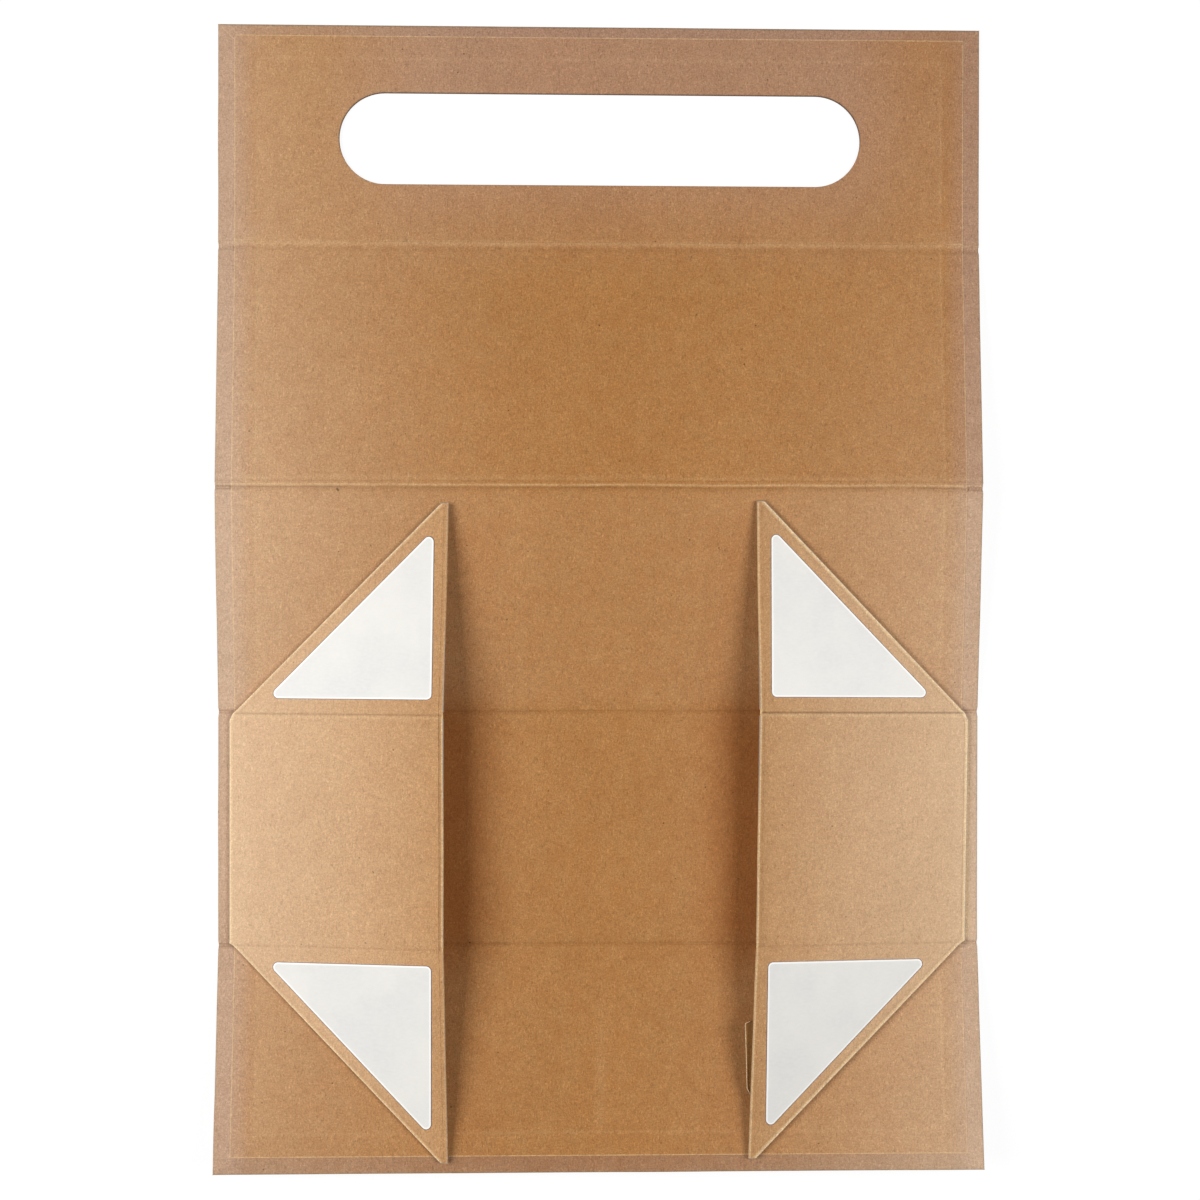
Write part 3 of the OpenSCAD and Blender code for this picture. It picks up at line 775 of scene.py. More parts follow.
def hole_outline(w, low, high):
    """Points round the hole, anticlockwise from above, and where the ray through each
    meets the rectangle |x| <= w, low <= s <= high: rays run straight out from the long
    sides, and fan out from the middle of each round end."""
    down = -math.atan2(hole_middle - low, w - hole_reach)
    up = math.atan2(high - hole_middle, w - hole_reach)
    turn = np.concatenate([np.linspace(-np.pi / 2, down, 14)[:-1],
                           np.linspace(down, up, 25)[:-1],
                           np.linspace(up, np.pi / 2, 14)])
    c, d = np.maximum(np.cos(turn), 1e-9), np.sin(turn)
    tall = np.where(d > 0, high - hole_middle, hole_middle - low)
    far = np.minimum((w - hole_reach) / c, tall / np.maximum(np.abs(d), 1e-9))
    run = np.linspace(-hole_reach, hole_reach, 57)[1:-1]
    outlines = []
    for reach, below, above in ((HOLE_RADIUS, hole_middle - HOLE_RADIUS,
                                 hole_middle + HOLE_RADIUS), (far, low, high)):
        right = np.stack([hole_reach + reach * c, hole_middle + reach * d])
        left = (right * [[-1.0], [1.0]])[:, ::-1]
        over = np.stack([run[::-1], np.full_like(run, above)])
        under = np.stack([run, np.full_like(run, below)])
        outlines.append(np.concatenate([right, over, left, under], axis=1))
    return outlines


def rings(half, low, high, insets):
    """Rings from the hole out to the rectangle: close ones at the hole, a blend between
    the two shapes, then the rectangle inset by each of insets, the last of them 0."""
    deep = max(insets)
    inner, outer = hole_outline(half - deep, low + deep, high - deep)
    ray = outer - inner
    length = np.linalg.norm(ray, axis=0)
    near = HOLE_LINES[:, None] / length[None, :]
    start = near[-1]
    share = np.linspace(0, 1, 10)[1:, None]
    blend = start + (1 - start) * share
    at = np.concatenate([near, blend])[:, None, :]
    inside = inner[None] + at * ray[None]
    middle = (low + high) / 2
    unit = np.stack([outer[0] / (half - deep),
                     (outer[1] - middle) / ((high - low) / 2 - deep)])
    outside = np.stack([np.stack([unit[0] * (half - d),
                                  middle + unit[1] * ((high - low) / 2 - d)])
                        for d in sorted(insets, reverse=True)[1:]])
    both = np.concatenate([inside, outside])
    return both[:, 0], both[:, 1]


def from_hole(x, s):
    """Distance outside the edge of the hand hole."""
    beyond = np.maximum(np.abs(x) - hole_reach, 0)
    return np.maximum(np.hypot(beyond, s - hole_middle) - HOLE_RADIUS, 0)


def dent(x, s, depth):
    """The sheets and the board are pressed together by depth at the edge of the hole."""
    return depth * np.exp(-from_hole(x, s) / DENT_FALL)

# %% The lining on the closing flap
lining_insets = np.concatenate([[0, 0.12, 0.3, 0.6, 1.1, 2.0, 3.5, 5.5],
                                TURN_IN - LINING_BORDER + np.array(STEP_LINES), [13]])
x, s = rings(lining_half, lid_end, FLAP_END + FLAP_SHIFT - LINING_BORDER, lining_insets)
# Painted shade round the far rim of the hand hole.
far_rim = smooth(-8, 8, s - hole_middle - 0.4 * (x + hole_reach) * (x < -hole_reach))
painted_rim_shade = 0.75 * far_rim * bell(from_hole(x, s), 0.32)
pale, dark = lining_marks(x, s)
height = lining_height(x, s) - dent(x, s, LINING_DENT)
grid = patch(on_chain(x, s, height), pale, dark + painted_rim_shade, ring=True, turned=True)
make_piece("lining_flap", [grid], lining_paper, tones=panel_tones)

# %% The board of the closing flap, with its punched edge
board_half = HALF_WIDTH - PAPER
x, s = rings(board_half, FLAP_CREASE + CREASE_HALF, FLAP_END - PAPER, [0, 0.4, 2.0, 8.0])
top = on_chain(x, s, BOARD_TOP - dent(x, s, BOARD_DENT))
under = on_chain(x, s, PAPER + 0 * s)[::-1]
levels = np.linspace(PAPER, BOARD_TOP - BOARD_DENT, 7)[1:-1, None]
torn = 0.05 * ripple(x[0], s[0] + 40 * levels, 1.8, 17)
wall = on_chain(x[0] * (1 + torn / 200), s[0] + torn * np.sign(s[0] - hole_middle), levels)
ring_rows = np.concatenate([top, under, wall, top[:1]])
cut = np.zeros(ring_rows.shape[:2])
cut[-len(wall) - 2:] = 1.0
cut[0] = 1.0
make_piece("flap_board", [patch(ring_rows, cut, ring=True, turned=True)], greyboard,
           thickness=None)

# %% [markdown]
# ## The outer wrap
#
# The wrap lies under the boards, comes up round their edges and is turned in over them
# by 17 mm. It is a profile carried along each edge: in over the board, round the top
# corner, down the side, round the bottom corner and in underneath. Where two edges meet
# both profiles end on the mitre, the folded corner that shows as a fine slanting line.

# %% The profile of a turned-in edge
OVER = np.array([17, 16.7, 14, 10.5, 8.6, 7.6, 7.0, 6.0, 4.6, 3.2, 2.2, 1.4, 0.9])
UNDER = np.array([0.9, 1.6, 3.0, 5.0, 8.0])
BEND = np.radians([0, 18, 36, 54, 72, 90])
EDGE_ROUND, SQUEEZE = 0.42, 25.0
MITRE_LINES = -np.array([0, 0.001, 0.002, 0.004, 0.008, 0.014])
END_COLUMNS = mirrored(lines(0, 1, 0.02, (1, MITRE_LINES), closest=0.0005))


def turned_edge(top, bottom):
    """Distance in from the edge, and height, of the points of the profile, for arrays of
    top and bottom heights: flat in, a quarter circle, a short side, a quarter circle,
    flat in again. The circles' radius shrinks where the sheets come together."""
    radius = np.minimum(EDGE_ROUND, 0.42 * (top - bottom))
    none = np.zeros_like(top)
    over = [(none + e, top) for e in OVER]
    upper = [(radius * (1 - math.sin(a)), top - radius * (1 - math.cos(a))) for a in BEND]
    lower = [(radius * (1 - math.cos(a)), bottom + radius * (1 - math.sin(a)))
             for a in BEND]
    under = [(none + e, bottom) for e in UNDER]
    every = over + upper + lower + under
    return np.stack([e for e, n in every]), np.stack([n for e, n in every])


def along_profile(over, over_fall, bend, under, under_fall):
    """A mark along the profile: full at the bends, falling off inwards on both sheets."""
    return np.concatenate([over * np.exp(-OVER / over_fall), np.full(2 * len(BEND), bend),
                           under * np.exp(-UNDER / under_fall)])


# Along the turned-in edges: pale at the bends for wear and painted highlight, and painted
# shade over the turn-in beside them.
edge_wear_highlight = along_profile(0.08, 0.9, 0.10, 0.1, 0.8)
edge_painted_shade = along_profile(0.25, 0.6, 0.35, 0.2, 0.8)


def wrap_top(x, s):
    return WRAP_TOP - crease_dip(x, s)


def wrap_bottom(s):
    """Underside: flat, but pressed in a little along each crease."""
    return sum(0.22 * (1 - smooth(0.2, 1.9, np.abs(s - c))) for c in STARTS[1:5])


def waver(e, along, length, seed):
    """How far an edge strays inwards: up to a quarter of a millimetre at the edge itself,
    and nothing from the last line of the underside on."""
    stray = 0.12 * np.maximum(1 + ripple(along, 0, length, seed), 0)
    return stray * np.clip(1 - e / UNDER[-1], 0, 1) ** 2


def mitre_line(distance):
    """Height lost and wear gained beside the mitre fold at the corner."""
    return 0.10 * bell(distance, 0.35), 0.16 * bell(distance, 0.45)


def squeezed(way, e):
    """Way from a free end, squeezed up within 25 mm of it so that it starts at e."""
    return np.where(way < SQUEEZE, e + way * (SQUEEZE - e) / SQUEEZE, way)


def side_strip(side, rows, free_low, free_high):
    """The turned-in edge along one side. Rows are places along the chain; near a free
    end they squeeze up so that each line of the profile ends on the mitre. Beside the
    hinge of an end flap the paper is painted paler, a painted light that lifts the shade the
    flap casts there; more on the right."""
    e, n = turned_edge(wrap_top(HALF_WIDTH - 0.5, rows), wrap_bottom(rows))
    s = np.broadcast_to(rows, e.shape).copy()
    fold, wear_highlight = 0 * e, np.broadcast_to(edge_wear_highlight[:, None], e.shape).copy()
    if free_low:
        s = squeezed(s, e)
        fold, line = mitre_line(s - e)
        wear_highlight = wear_highlight + line
    if free_high:
        back = squeezed(FLAP_END - s, e)
        s = FLAP_END - back
        fold, line = mitre_line(back - e)
        wear_highlight = wear_highlight + line
    over = len(OVER)
    n[:over] -= fold[:over]
    pinch = 0.15 * sum(1 - smooth(0.4, 2.4, np.abs(rows - c)) for c in STARTS[1:5])
    pinch = pinch * np.clip(1 - e / UNDER[-1], 0, 1)
    x = side * (HALF_WIDTH - pinch - waver(e, rows, 45.0, 70 + side) - e)
    pale, dark = crease_marks(x, s)
    # Painted light: a pale strip beside the hinge of the end flap lifts its shade on the base
    # margin.
    pale_share = (0.55 if side > 0 else 0.05) * bell(e - 4.6, 1.3)
    pale_share = pale_share * smooth(FRONT_CREASE, FRONT_CREASE + 4, s)
    pale_share = pale_share * (1 - smooth(BASE_CREASE - 6, BASE_CREASE - 2, s))
    return patch(on_chain(x.T, s.T, n.T), (wear_highlight + 0.6 * pale + pale_share).T,
                 (0.5 * edge_painted_shade[:, None] + dark).T, turned=side < 0)


def end_strip(at_front):
    """The turned-in edge along a free end, between the two mitres."""
    t = END_COLUMNS
    flat = np.full_like(t, WRAP_TOP)
    e, n = turned_edge(flat, 0 * flat)
    x = t * (HALF_WIDTH - e)
    s = e + waver(e, x, 60.0, 80)
    if not at_front:
        s = FLAP_END - s
    fold, line = mitre_line((HALF_WIDTH - e) - np.abs(x))
    over = len(OVER)
    n[:over] -= fold[:over]
    # Painted shade along the free ends, strongest on the far end of the closing flap, whose
    # edge lies in shade.
    dusk = (0.6 * edge_painted_shade[:, None] + 0.08 if at_front else edge_painted_shade[:, None]) + 0 * e
    return patch(on_chain(x.T, s.T, n.T), (edge_wear_highlight[:, None] + line).T, dusk.T,
                 turned=not at_front)


def underside(rows):
    """The flat sheet below the boards between the two side strips."""
    x, s = np.meshgrid(END_COLUMNS * (HALF_WIDTH - UNDER[-1]), rows)
    return patch(on_chain(x, s, wrap_bottom(s)), turned=True)

# %% The outer wrap
WRAP_LINES = np.array([0, 0.2, 0.4, 0.8, 1.5, 3, 6])
LAP = 0.01
body_rows = lines(0, body_end, 5.0, *crease_rows, (0, WRAP_LINES))
lid_rows = lines(body_end, lid_end, 5.0, *crease_rows)
flap_rows = lines(lid_end, FLAP_END, 5.0, *crease_rows, (FLAP_END, -WRAP_LINES))
body_under = squeezed(body_rows, UNDER[-1])
make_piece("wrap_body", [
    underside(body_under), end_strip(True),
    side_strip(-1, body_rows, True, False), side_strip(1, body_rows, True, False),
], wrap_paper, tones=panel_tones)
make_piece("wrap_lid", [
    underside(lid_rows),
    side_strip(-1, lid_rows, False, False), side_strip(1, lid_rows, False, False),
], wrap_paper, tones=panel_tones)
x, s = rings(HALF_WIDTH - UNDER[-1] + LAP, lid_end, FLAP_END - UNDER[-1] + LAP, [0, 1, 3])
under_flap = patch(on_chain(x, s, wrap_bottom(s) + dent(x, s, BOARD_DENT)), ring=True)
make_piece("wrap_flap", [
    under_flap, end_strip(False),
    side_strip(-1, flap_rows, False, True), side_strip(1, flap_rows, False, True),
], wrap_paper, tones=panel_tones)

# %% [markdown]
# ## The end flaps
#
# Each end flap is a board panel with a triangular tab at either end, all in one kraft
# wrap. It is drawn flat with u away from its hinge, v along the hinge and n upward, and
# then put in place: sloped up over the base, the right one glued on three quarters of a
# degree askew. Its back tab bends down a little at its crease.

# %% Sizes and place of the end flaps
HINGE_X, HINGE_Z = 164.6, 2.1
END_SLOPE, BACK_TAB_FOLD = math.radians(10.4773), math.radians(3.596)
SIDES = ("left", "right")
HAND, SKEW = {"left": -1, "right": 1}, {"left": 0.0, "right": math.radians(0.75)}
TAB_CREASE, TIP = 51.5, 144.9
END_HEIGHT, FRONT_TIP, BACK_TIP = 97.4, 99.6, 98.4
TIP_WIDTH = 3.4
OUTLINE = np.array([
    (0.1, TAB_CREASE - 3.0), (0.1, -TAB_CREASE + 0.8), (1.8, -TAB_CREASE),
    (FRONT_TIP - TIP_WIDTH, -TIP), (FRONT_TIP, -TIP), (END_HEIGHT, -TAB_CREASE),
    (END_HEIGHT, TAB_CREASE), (BACK_TIP, TIP), (BACK_TIP - TIP_WIDTH, TIP),
    (1.8, TAB_CREASE)])


def inset(points, d):
    """Every side of an anticlockwise outline moved in by d: each corner moves along the
    sum of its two sides' inward normals, over 1 plus their product."""
    before = points - np.roll(points, 1, axis=0)
    after = np.roll(points, -1, axis=0) - points
    a = np.stack([-before[:, 1], before[:, 0]], 1) / np.linalg.norm(before, axis=1)[:, None]
    b = np.stack([-after[:, 1], after[:, 0]], 1) / np.linalg.norm(after, axis=1)[:, None]
    return points + d * (a + b) / (1 + (a * b).sum(axis=1, keepdims=True))


def across(v, margin):
    """Near and far u of the outline, inset by margin, at each v."""
    p = inset(OUTLINE, margin)
    near, far = p[[3, 2, 1, 0, 9, 8]], p[4:8]
    bow = 0.14 * ripple(v, 0.0, 70.0, 91) * smooth(TIP, TIP - 30, np.abs(v))
    return (np.interp(v, near[:, 1], near[:, 0]),
            np.interp(v, far[:, 1], far[:, 0]) + bow, near[0, 1], near[-1, 1])


def at_hinge(side, x, v, z):
    """The point in metres: x away from the hinge, v along it and z up, mirrored on the
    right, turned by the skew and moved to the hinge."""
    x, skew = -HAND[side] * x, SKEW[side]
    turned_x = x * math.cos(skew) + v * math.sin(skew)
    turned_y = -x * math.sin(skew) + v * math.cos(skew)
    place = np.broadcast_arrays(HAND[side] * HINGE_X + turned_x, turned_y, HINGE_Z + z)
    return np.stack(place, axis=-1) * MM


def on_end(side, u, v, n):
    """The point in metres of (u, v, n) on an end flap: the back tab turned down about
    its crease, and the flap sloped up from its hinge."""
    u, v, n = np.broadcast_arrays(*[np.asarray(k, float) for k in (u, v, n)])
    way, up = v - TAB_CREASE, n - WRAP_TOP
    fold_v = TAB_CREASE + way * math.cos(BACK_TAB_FOLD) + up * math.sin(BACK_TAB_FOLD)
    fold_n = WRAP_TOP - way * math.sin(BACK_TAB_FOLD) + up * math.cos(BACK_TAB_FOLD)
    share = smooth(-1.5, 1.5, way)
    v, n = v + (fold_v - v) * share, n + (fold_n - n) * share
    return at_hinge(side, u * math.cos(END_SLOPE) - n * math.sin(END_SLOPE), v,
                    u * math.sin(END_SLOPE) + n * math.cos(END_SLOPE))


def from_sides(u, v):
    """Distances in from the near side, which slants along the tabs, and the far side."""
    near, far, *_ = across(v, 0.0)
    slant = np.where(np.abs(v) > TAB_CREASE, 0.707, 1.0)
    return (u - near) * slant, far - u


def from_rim(u, v):
    """Distance in from the nearest side of the flap's outline."""
    near, far = from_sides(u, v)
    return np.minimum(np.minimum(near, far), TIP - np.abs(v))


def free_shine(side, v):
    """How strong the painted highlight on the free edge is: less along the tabs, least on the
    left ones.
    """
    on_tab = smooth(TAB_CREASE - 2, TAB_CREASE + 2, np.abs(v))
    return 0.46 - (0.32 if side == "left" else 0.08) * on_tab


def rim_marks(side, u, v):
    """Painted highlight along the rounded edges, most widely at the hinge. Beside the painted
    highlight of the free edge, the paper of the middle panel has a line of painted shade,
    broader on the right."""
    near, far = from_sides(u, v)
    on_tab = smooth(TAB_CREASE - 1, TAB_CREASE + 1, np.abs(v))
    wide = (0.45 if side == "left" else 1.0) - 0.3 * on_tab
    pale = 0.8 * bell(np.maximum(near, 0), 0.7 + wide)
    pale = pale + free_shine(side, v) * bell(np.maximum(far, 0), 0.85, 6)
    deep, at, width = (0.30, 1.5, 0.45) if side == "left" else (0.13, 1.9, 1.1)
    dusk = deep * (1 - 0.85 * on_tab) * bell(far - at, width)
    return pale, dusk + 0.08 * on_tab * bell(near - 1.7, 0.5)


def tab_line(v, width):
    """1 on either tab crease, falling to 0 over width."""
    return bell(np.abs(v) - TAB_CREASE, width)


def sunk(u, v):
    """How much lower the face lies inside the narrow turn-in of the wrap."""
    return 0.10 * smooth(3.4, 4.8, from_rim(u, v))


def wrap_line(v):
    """How deep the wrap is pressed in along the tab creases."""
    return 0.16 * tab_line(v, 0.45)


def tab_marks(side, v):
    """Strokes of painted shade and painted highlight along the tab creases: the back one has
    the darker painted shade, most of all on the right, and a painted highlight on its near
    side."""
    way = v - TAB_CREASE - 0.12 * ripple(v * 0, 0.0, 30.0, 5)
    strong = 0.55 if side == "right" else 0.30
    dark = strong * bell(way, 0.42) + 0.13 * bell(v + TAB_CREASE, 0.42)
    return 0.4 * strong * bell(way + 1.3, 0.6), dark

# %% The wrap of an end flap
END_ROUND = 0.7
RIM_SHARES = np.array([0, 0.004, 0.01, 0.02, 0.035, 0.055, 0.08])
TAB_ROWS = [-3, -2.2, -1.6, -1.2, -0.8, -0.5, -0.25, 0, 0.25, 0.5, 0.8, 1.2, 1.6, 2.2, 3]
TIP_LINES = np.array([0, 0.03, 0.1, 0.22, 0.4, 0.7, 1.2, 2.0])
end_rows = lines(-TIP, TIP, 3.2, (-TAB_CREASE, TAB_ROWS), (TAB_CREASE, TAB_ROWS),
                 (-TIP, TIP_LINES), (TIP, -TIP_LINES), (OUTLINE[0, 1], [0]),
                 (OUTLINE[1, 1], [0]))


def end_shell(side):
    """A closed tube: rows run along v, and each is a loop round the flap: over its face,
    round the free edge, back underneath and round the hinge edge. Edges are rounded,
    the tips close in an arc, and the underside has a groove at each tab crease."""
    v = end_rows[:, None]
    near, far, *_ = across(v, 0.0)
    left = TIP - np.abs(v)
    close = np.clip(1 - left / END_ROUND, 0, 1)
    shrink = END_ROUND * (1 - np.sqrt(np.clip(1 - close ** 2, 0, 1)))
    near, far = near + shrink, far - shrink
    groove = 1.15 * (1 - smooth(0.5, 1.6, np.abs(np.abs(v) - TAB_CREASE)))
    radius = np.minimum(END_ROUND, 0.4 * (far - near))
    t = np.concatenate([RIM_SHARES, np.linspace(0.12, 0.88, 20), 1 - RIM_SHARES[::-1]])
    flat = near + radius + t * (far - near - 2 * radius)
    top = WRAP_TOP - sunk(flat, v) - wrap_line(v) - shrink
    bottom = groove + shrink + 0 * flat
    bend = np.radians([15, 30, 45, 60, 75, 90])[None]
    edge_top, edge_low = WRAP_TOP - wrap_line(v) - shrink, groove + shrink
    r = np.minimum(radius, 0.49 * (edge_top - edge_low))
    out, down = radius * np.sin(bend), r * (1 - np.cos(bend))
    free_u, free_n = far - radius + out, edge_top - down
    free_v, free_m = (far - radius + out)[:, ::-1], (edge_low + down)[:, ::-1]
    hinge_u, hinge_n = near + radius - out, edge_low + down
    back_u, back_n = (near + radius - out)[:, ::-1], (edge_top - down)[:, ::-1]
    u = np.concatenate([flat, free_u, free_v, flat[:, ::-1], hinge_u, back_u], axis=1)
    n = np.concatenate([top, free_n, free_m, bottom[:, ::-1], hinge_n, back_n], axis=1)
    k, b = flat.shape[1], bend.shape[1]
    pale, dark = tab_marks(side, v)
    face, dusk = rim_marks(side, flat, v)
    face, dusk = face + pale, dusk + dark
    shine = np.repeat(free_shine(side, v), b, axis=1)
    # Painted highlight on the upper bend of the free edge and on the hinge bends; painted
    # shade on the lower bend, where the free edge falls into the shade beside it.
    wear_highlight = np.concatenate([face, shine, 0.2 * shine, 0.3 * face[:, ::-1],
                           np.full((len(v), 2 * b), 0.8)], axis=1)
    dusk = np.concatenate([dusk, 0 * shine, 0.55 + 0 * shine,
                           np.zeros((len(v), k + 2 * b))], axis=1)
    return patch(on_end(side, u, v, n), wear_highlight, dusk, ring=True, capped=True,
                 turned=side == "right")


for side in SIDES:
    make_piece(f"{side}_end_paper", [end_shell(side)], end_lining_paper,
               tones=end_tones)

# %% [markdown]
# ### The lining of an end flap
#
# A sheet cut 2 mm smaller than the flap all round, so that a narrow line of the wrap
# shows beside it. It steps down where the turned-in wrap ends under it, and has a fine
# dark line at each tab crease, partly its dip and partly painted shade.

# %% The lining of an end flap
END_BORDER = 2.0


def end_sheet(side):
    """Rows along v, and in each row u from the near to the far side of the outline."""
    *_, low, high = across(np.array([0.0]), END_BORDER)
    v = lines(low, high, 2.6, (-TAB_CREASE, TAB_ROWS), (TAB_CREASE, TAB_ROWS),
              (low, EDGE_LINES), (high, -np.array(EDGE_LINES)))[:, None]
    near, far, *_ = across(v, END_BORDER)
    near_rim = -np.array([0, 0.0015, 0.004, 0.01, 0.02, 0.03, 0.04, 0.05])
    t = mirrored(lines(0, 0.5, 0.022, (0.5, near_rim), closest=0.0005))[None] + 0.5
    u = near + t * (far - near)
    n = (LINING_TOP - sunk(u, v) - 0.2 * tab_line(v, 0.4)
         + 0.05 * tab_line(np.abs(v) - 0.9, 0.5) + 0.03 * ripple(u, v, 45.0, 95))
    pale, dark = tab_marks(side, v)
    return patch(on_end(side, u, v, n), pale + 0 * u, dark + rim_marks(side, u, v)[1],
                 turned=side == "right")


for side in SIDES:
    make_piece(f"{side}_end_lining_sheet", [end_sheet(side)], end_lining_paper,
               tones=end_tones)

# %% [markdown]
# ### Adhesive patches
#
# A patch is a right-angled triangle with round corners. Its grid is the outline drawn in
# towards its middle, ring by ring. The white liner has a soft rim with a painted highlight;
# the dark adhesive below it is a hair larger, so it shows as the fine dark line round the
# white, standing in for the shade at the liner's raised edge.

# %% Adhesive patches and their release liners
PATCH_LEG = 74.6
PATCH_U, PATCH_V = END_HEIGHT - 5.4, TAB_CREASE + 7.0
PATCH_ROUND = 2.2
FACE = 1.80


def patch_outline(end, grow, round_by):
    """Round-cornered triangle: arcs about the inset corners, joined by straight lines.
    Returns points and outward directions, anticlockwise."""
    corners = np.array([(PATCH_U, PATCH_V), (PATCH_U, PATCH_V + PATCH_LEG),
                        (PATCH_U - PATCH_LEG, PATCH_V)])
    if end < 0:
        corners = (corners * [1, -1])[[0, 2, 1]]
    centres = inset(corners, round_by)
    sides = np.roll(corners, -1, axis=0) - corners
    facing = np.arctan2(-sides[:, 0], sides[:, 1])
    points, ways = [], []
    for i in range(3):
        start, stop = facing[i - 1], facing[i]
        stop = start + (stop - start) % (2 * np.pi)
        angle = np.linspace(start, stop, 13)
        way = np.stack([np.cos(angle), np.sin(angle)], 1)
        points.append(centres[i] + (round_by + grow) * way)
        ways.append(way)
        joint = centres[(i + 1) % 3] + (round_by + grow) * way[-1]
        run = np.linspace(0, 1, 26)[1:-1, None]
        points.append(points[-1][-1] * (1 - run) + joint * run)
        ways.append(np.repeat(way[-1:], len(run), axis=0))
    return np.concatenate(points), np.concatenate(ways)


def patch_piece(name, side, end, low, high, grow, finish, soft):
    """Closed slab: up its side, over the rounded rim, and in rings to the middle, and
    the same rings back below."""
    points, ways = patch_outline(end, grow, PATCH_ROUND)
    centre = points.mean(axis=0)
    insets = np.array([0, 0.03, 0.09, 0.2, 0.45, 0.9, 1.8])
    rim = points[None] - insets[:, None, None] * ways[None]
    shares = np.linspace(1, 0, 14)[1:, None, None]
    inside = centre + (rim[-1] - centre)[None] * shares
    uv = np.concatenate([rim, inside])
    drop = np.concatenate([soft * np.exp(-insets / 0.08), np.zeros(len(inside))])
    u, v = uv[..., 0], uv[..., 1]
    wave = 0.025 * ripple(u, v, 30.0, 7 + end) * np.concatenate(
        [insets / 1.8, np.ones(len(inside))])[:, None]
    top = on_end(side, u, v, high - drop[:, None] + wave)
    bottom = on_end(side, u, v, low + 0 * u)[::-1]
    # Painted highlight round the rim of the liner.
    painted_rim_highlight = np.concatenate([0.95 * (1 - smooth(0.35, 0.95, insets)),
                             np.zeros(len(inside))])
    upper = np.concatenate([bottom[-1:], top])
    halves = [patch(upper, np.append(painted_rim_highlight[0], painted_rim_highlight)[:, None], ring=True,
                    turned=side == "right"),
              patch(bottom, ring=True, turned=side == "right")]
    make_piece(name, halves, finish, thickness=None)


for side in SIDES:
    for word, end in (("back", 1), ("front", -1)):
        # The dark adhesive is grown 0.3 mm past the liner, so that its rim stands in for the
        # shade at the liner's raised edge.
        patch_piece(f"{side}_{word}_glue", side, end, FACE - 0.02, FACE + 0.2, 0.3,
                    tacky_film, 0.05)
        patch_piece(f"{side}_{word}_liner_sheet", side, end, FACE + 0.19, FACE + 0.32,
                    0.0, release_paper, 0.03)

# %% [markdown]
# ### Hinge tapes and the loose tail
#
# A strip of the same kraft holds the foot of each end flap: one half is glued to the base
# and the other to the back of the flap, folded like a V at rest. Beside the right front
# tab a tail of the wrap has come loose and curls out from under its free edge.

# %% Hinge tapes
TAPE_HALF, TAPE, TAPE_GAP = 48.0, 0.12, 0.01
TAPE_LEGS = [11.6, 8.0, 5.0, 3.0, 2.0, 1.4, 1.0, 0.6, 0.3]
TAPE_FOLD = [(-0.12, -TAPE), (-0.22, -0.06), (-0.2, 0.0), (-0.08, 0.03)]


def hinge_tape(side):
    """Closed profile of a folded strip, carried along the hinge: out under the base half,
    round the fold, out over the flap half and back, and back over the base half."""
    base_half = [(u, -TAPE) for u in TAPE_LEGS] + TAPE_FOLD
    flap_half = ([(u, -TAPE_GAP) for u in TAPE_LEGS[::-1]]
                 + [(u, -TAPE) for u in TAPE_LEGS[:7]])
    u, n = np.array(flap_half).T
    raised = np.stack([u * math.cos(END_SLOPE) - n * math.sin(END_SLOPE),
                       u * math.sin(END_SLOPE) + n * math.cos(END_SLOPE)], axis=1)
    home = [(u, -TAPE_GAP) for u in TAPE_LEGS[::-1][2:]]
    x, z = np.concatenate([base_half, raised, home]).T
    v = np.linspace(-TAPE_HALF, TAPE_HALF, 25)[:, None]
    return patch(at_hinge(side, x[None], v, z[None]), 0.1, ring=True, capped=True,
                 turned=side == "right")


for side in SIDES:
    make_piece(f"{side}_hinge_tape", [hinge_tape(side)], wrap_paper,
               thickness=None)

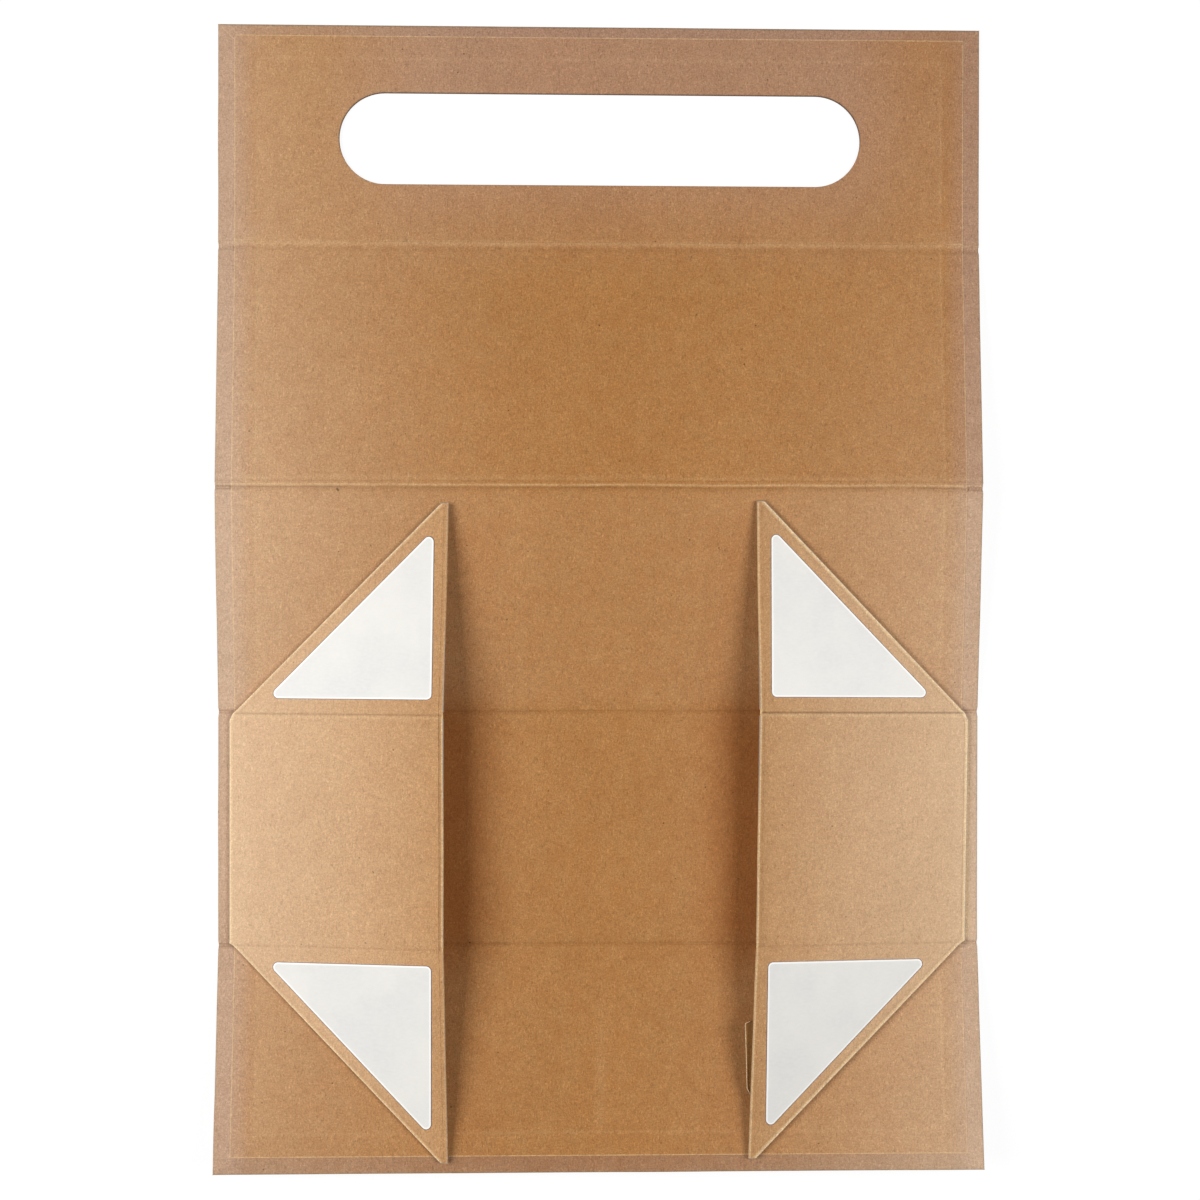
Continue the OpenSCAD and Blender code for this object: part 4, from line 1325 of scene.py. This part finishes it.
# %% The loose tail of wrap
t = np.linspace(0, 1, 40)[:, None]
v = -84.6 - 32.5 * t
far = across(v, 0.0)[1]
bulge = (1 - 0.62 * t) * smooth(-0.02, 0.03, t) * (1 - smooth(0.9, 1.0, t))
curl = np.array([(-3.5, -0.12), (-1.5, -0.16), (-0.3, -0.6), (0.6, -1.15), (1.6, -1.45),
                 (2.4, -1.3), (3.0, -0.85), (3.4, -0.25), (3.6, 0.15)])
u = far + np.where(curl[:, 0] > 0, curl[:, 0] * bulge, curl[:, 0])
n = curl[:, 1] * (0.4 + 0.6 * bulge)
# The curled lip gets a painted highlight, the inside of the curl painted shade.
wear_highlight = np.array([0, 0, 0, 0, 0, 0, 0.25, 0.7, 0.8]) + 0 * t
tail_dusk = np.array([0.3, 0.4, 0.6, 0.7, 0.6, 0.4, 0.1, 0, 0]) + 0 * t
make_piece("loose_tail",
           [patch(on_end("right", u, v, n), wear_highlight, tail_dusk, turned=True)],
           end_lining_paper)

# %% [markdown]
# ## What rides on what
#
# The sheets of the closing flap and of the end flaps ride on the body of the board they
# are glued to. The sheets of the body and the lid, and the hinge tapes, have their places
# baked into their meshes.


for name in ("lining_body", "wrap_body"):
    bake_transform(pieces[name])
for name in ("lining_lid", "wrap_lid"):
    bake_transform(pieces[name])
for side in SIDES:
    x = HAND[side] * HINGE_X * MM
    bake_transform(pieces[f"{side}_hinge_tape"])

# %% Sheets that ride on one body
for name in ("lining_flap", "wrap_flap", "flap_board"):
    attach(pieces[name], "handle_flap")
for side in SIDES:
    for part in ("end_paper", "end_lining_sheet", "back_glue", "front_glue",
                 "back_liner_sheet", "front_liner_sheet"):
        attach(pieces[f"{side}_{part}"], f"{side}_end")
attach(pieces["loose_tail"], "right_end")

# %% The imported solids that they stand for
STANDS_FOR = {"lining_body": "body_lining", "lining_lid": "lid_lining",
              "lining_flap": "handle_flap_lining", "wrap_body": "body_outer_wrap",
              "wrap_lid": "lid_outer_wrap", "wrap_flap": "handle_flap_outer_wrap",
              "flap_board": "handle_flap_board"}
END_STANDS_FOR = {"end_paper": "end_wrap", "end_lining_sheet": "end_lining",
                  "hinge_tape": "hinge_strip", "back_glue": "back_adhesive",
                  "front_glue": "front_adhesive",
                  "back_liner_sheet": "back_release_liner",
                  "front_liner_sheet": "front_release_liner"}
for side in SIDES:
    STANDS_FOR.update({f"{side}_{piece}": f"{side}_{node}"
                       for piece, node in END_STANDS_FOR.items()})
for piece, node in STANDS_FOR.items():
    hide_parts(node)
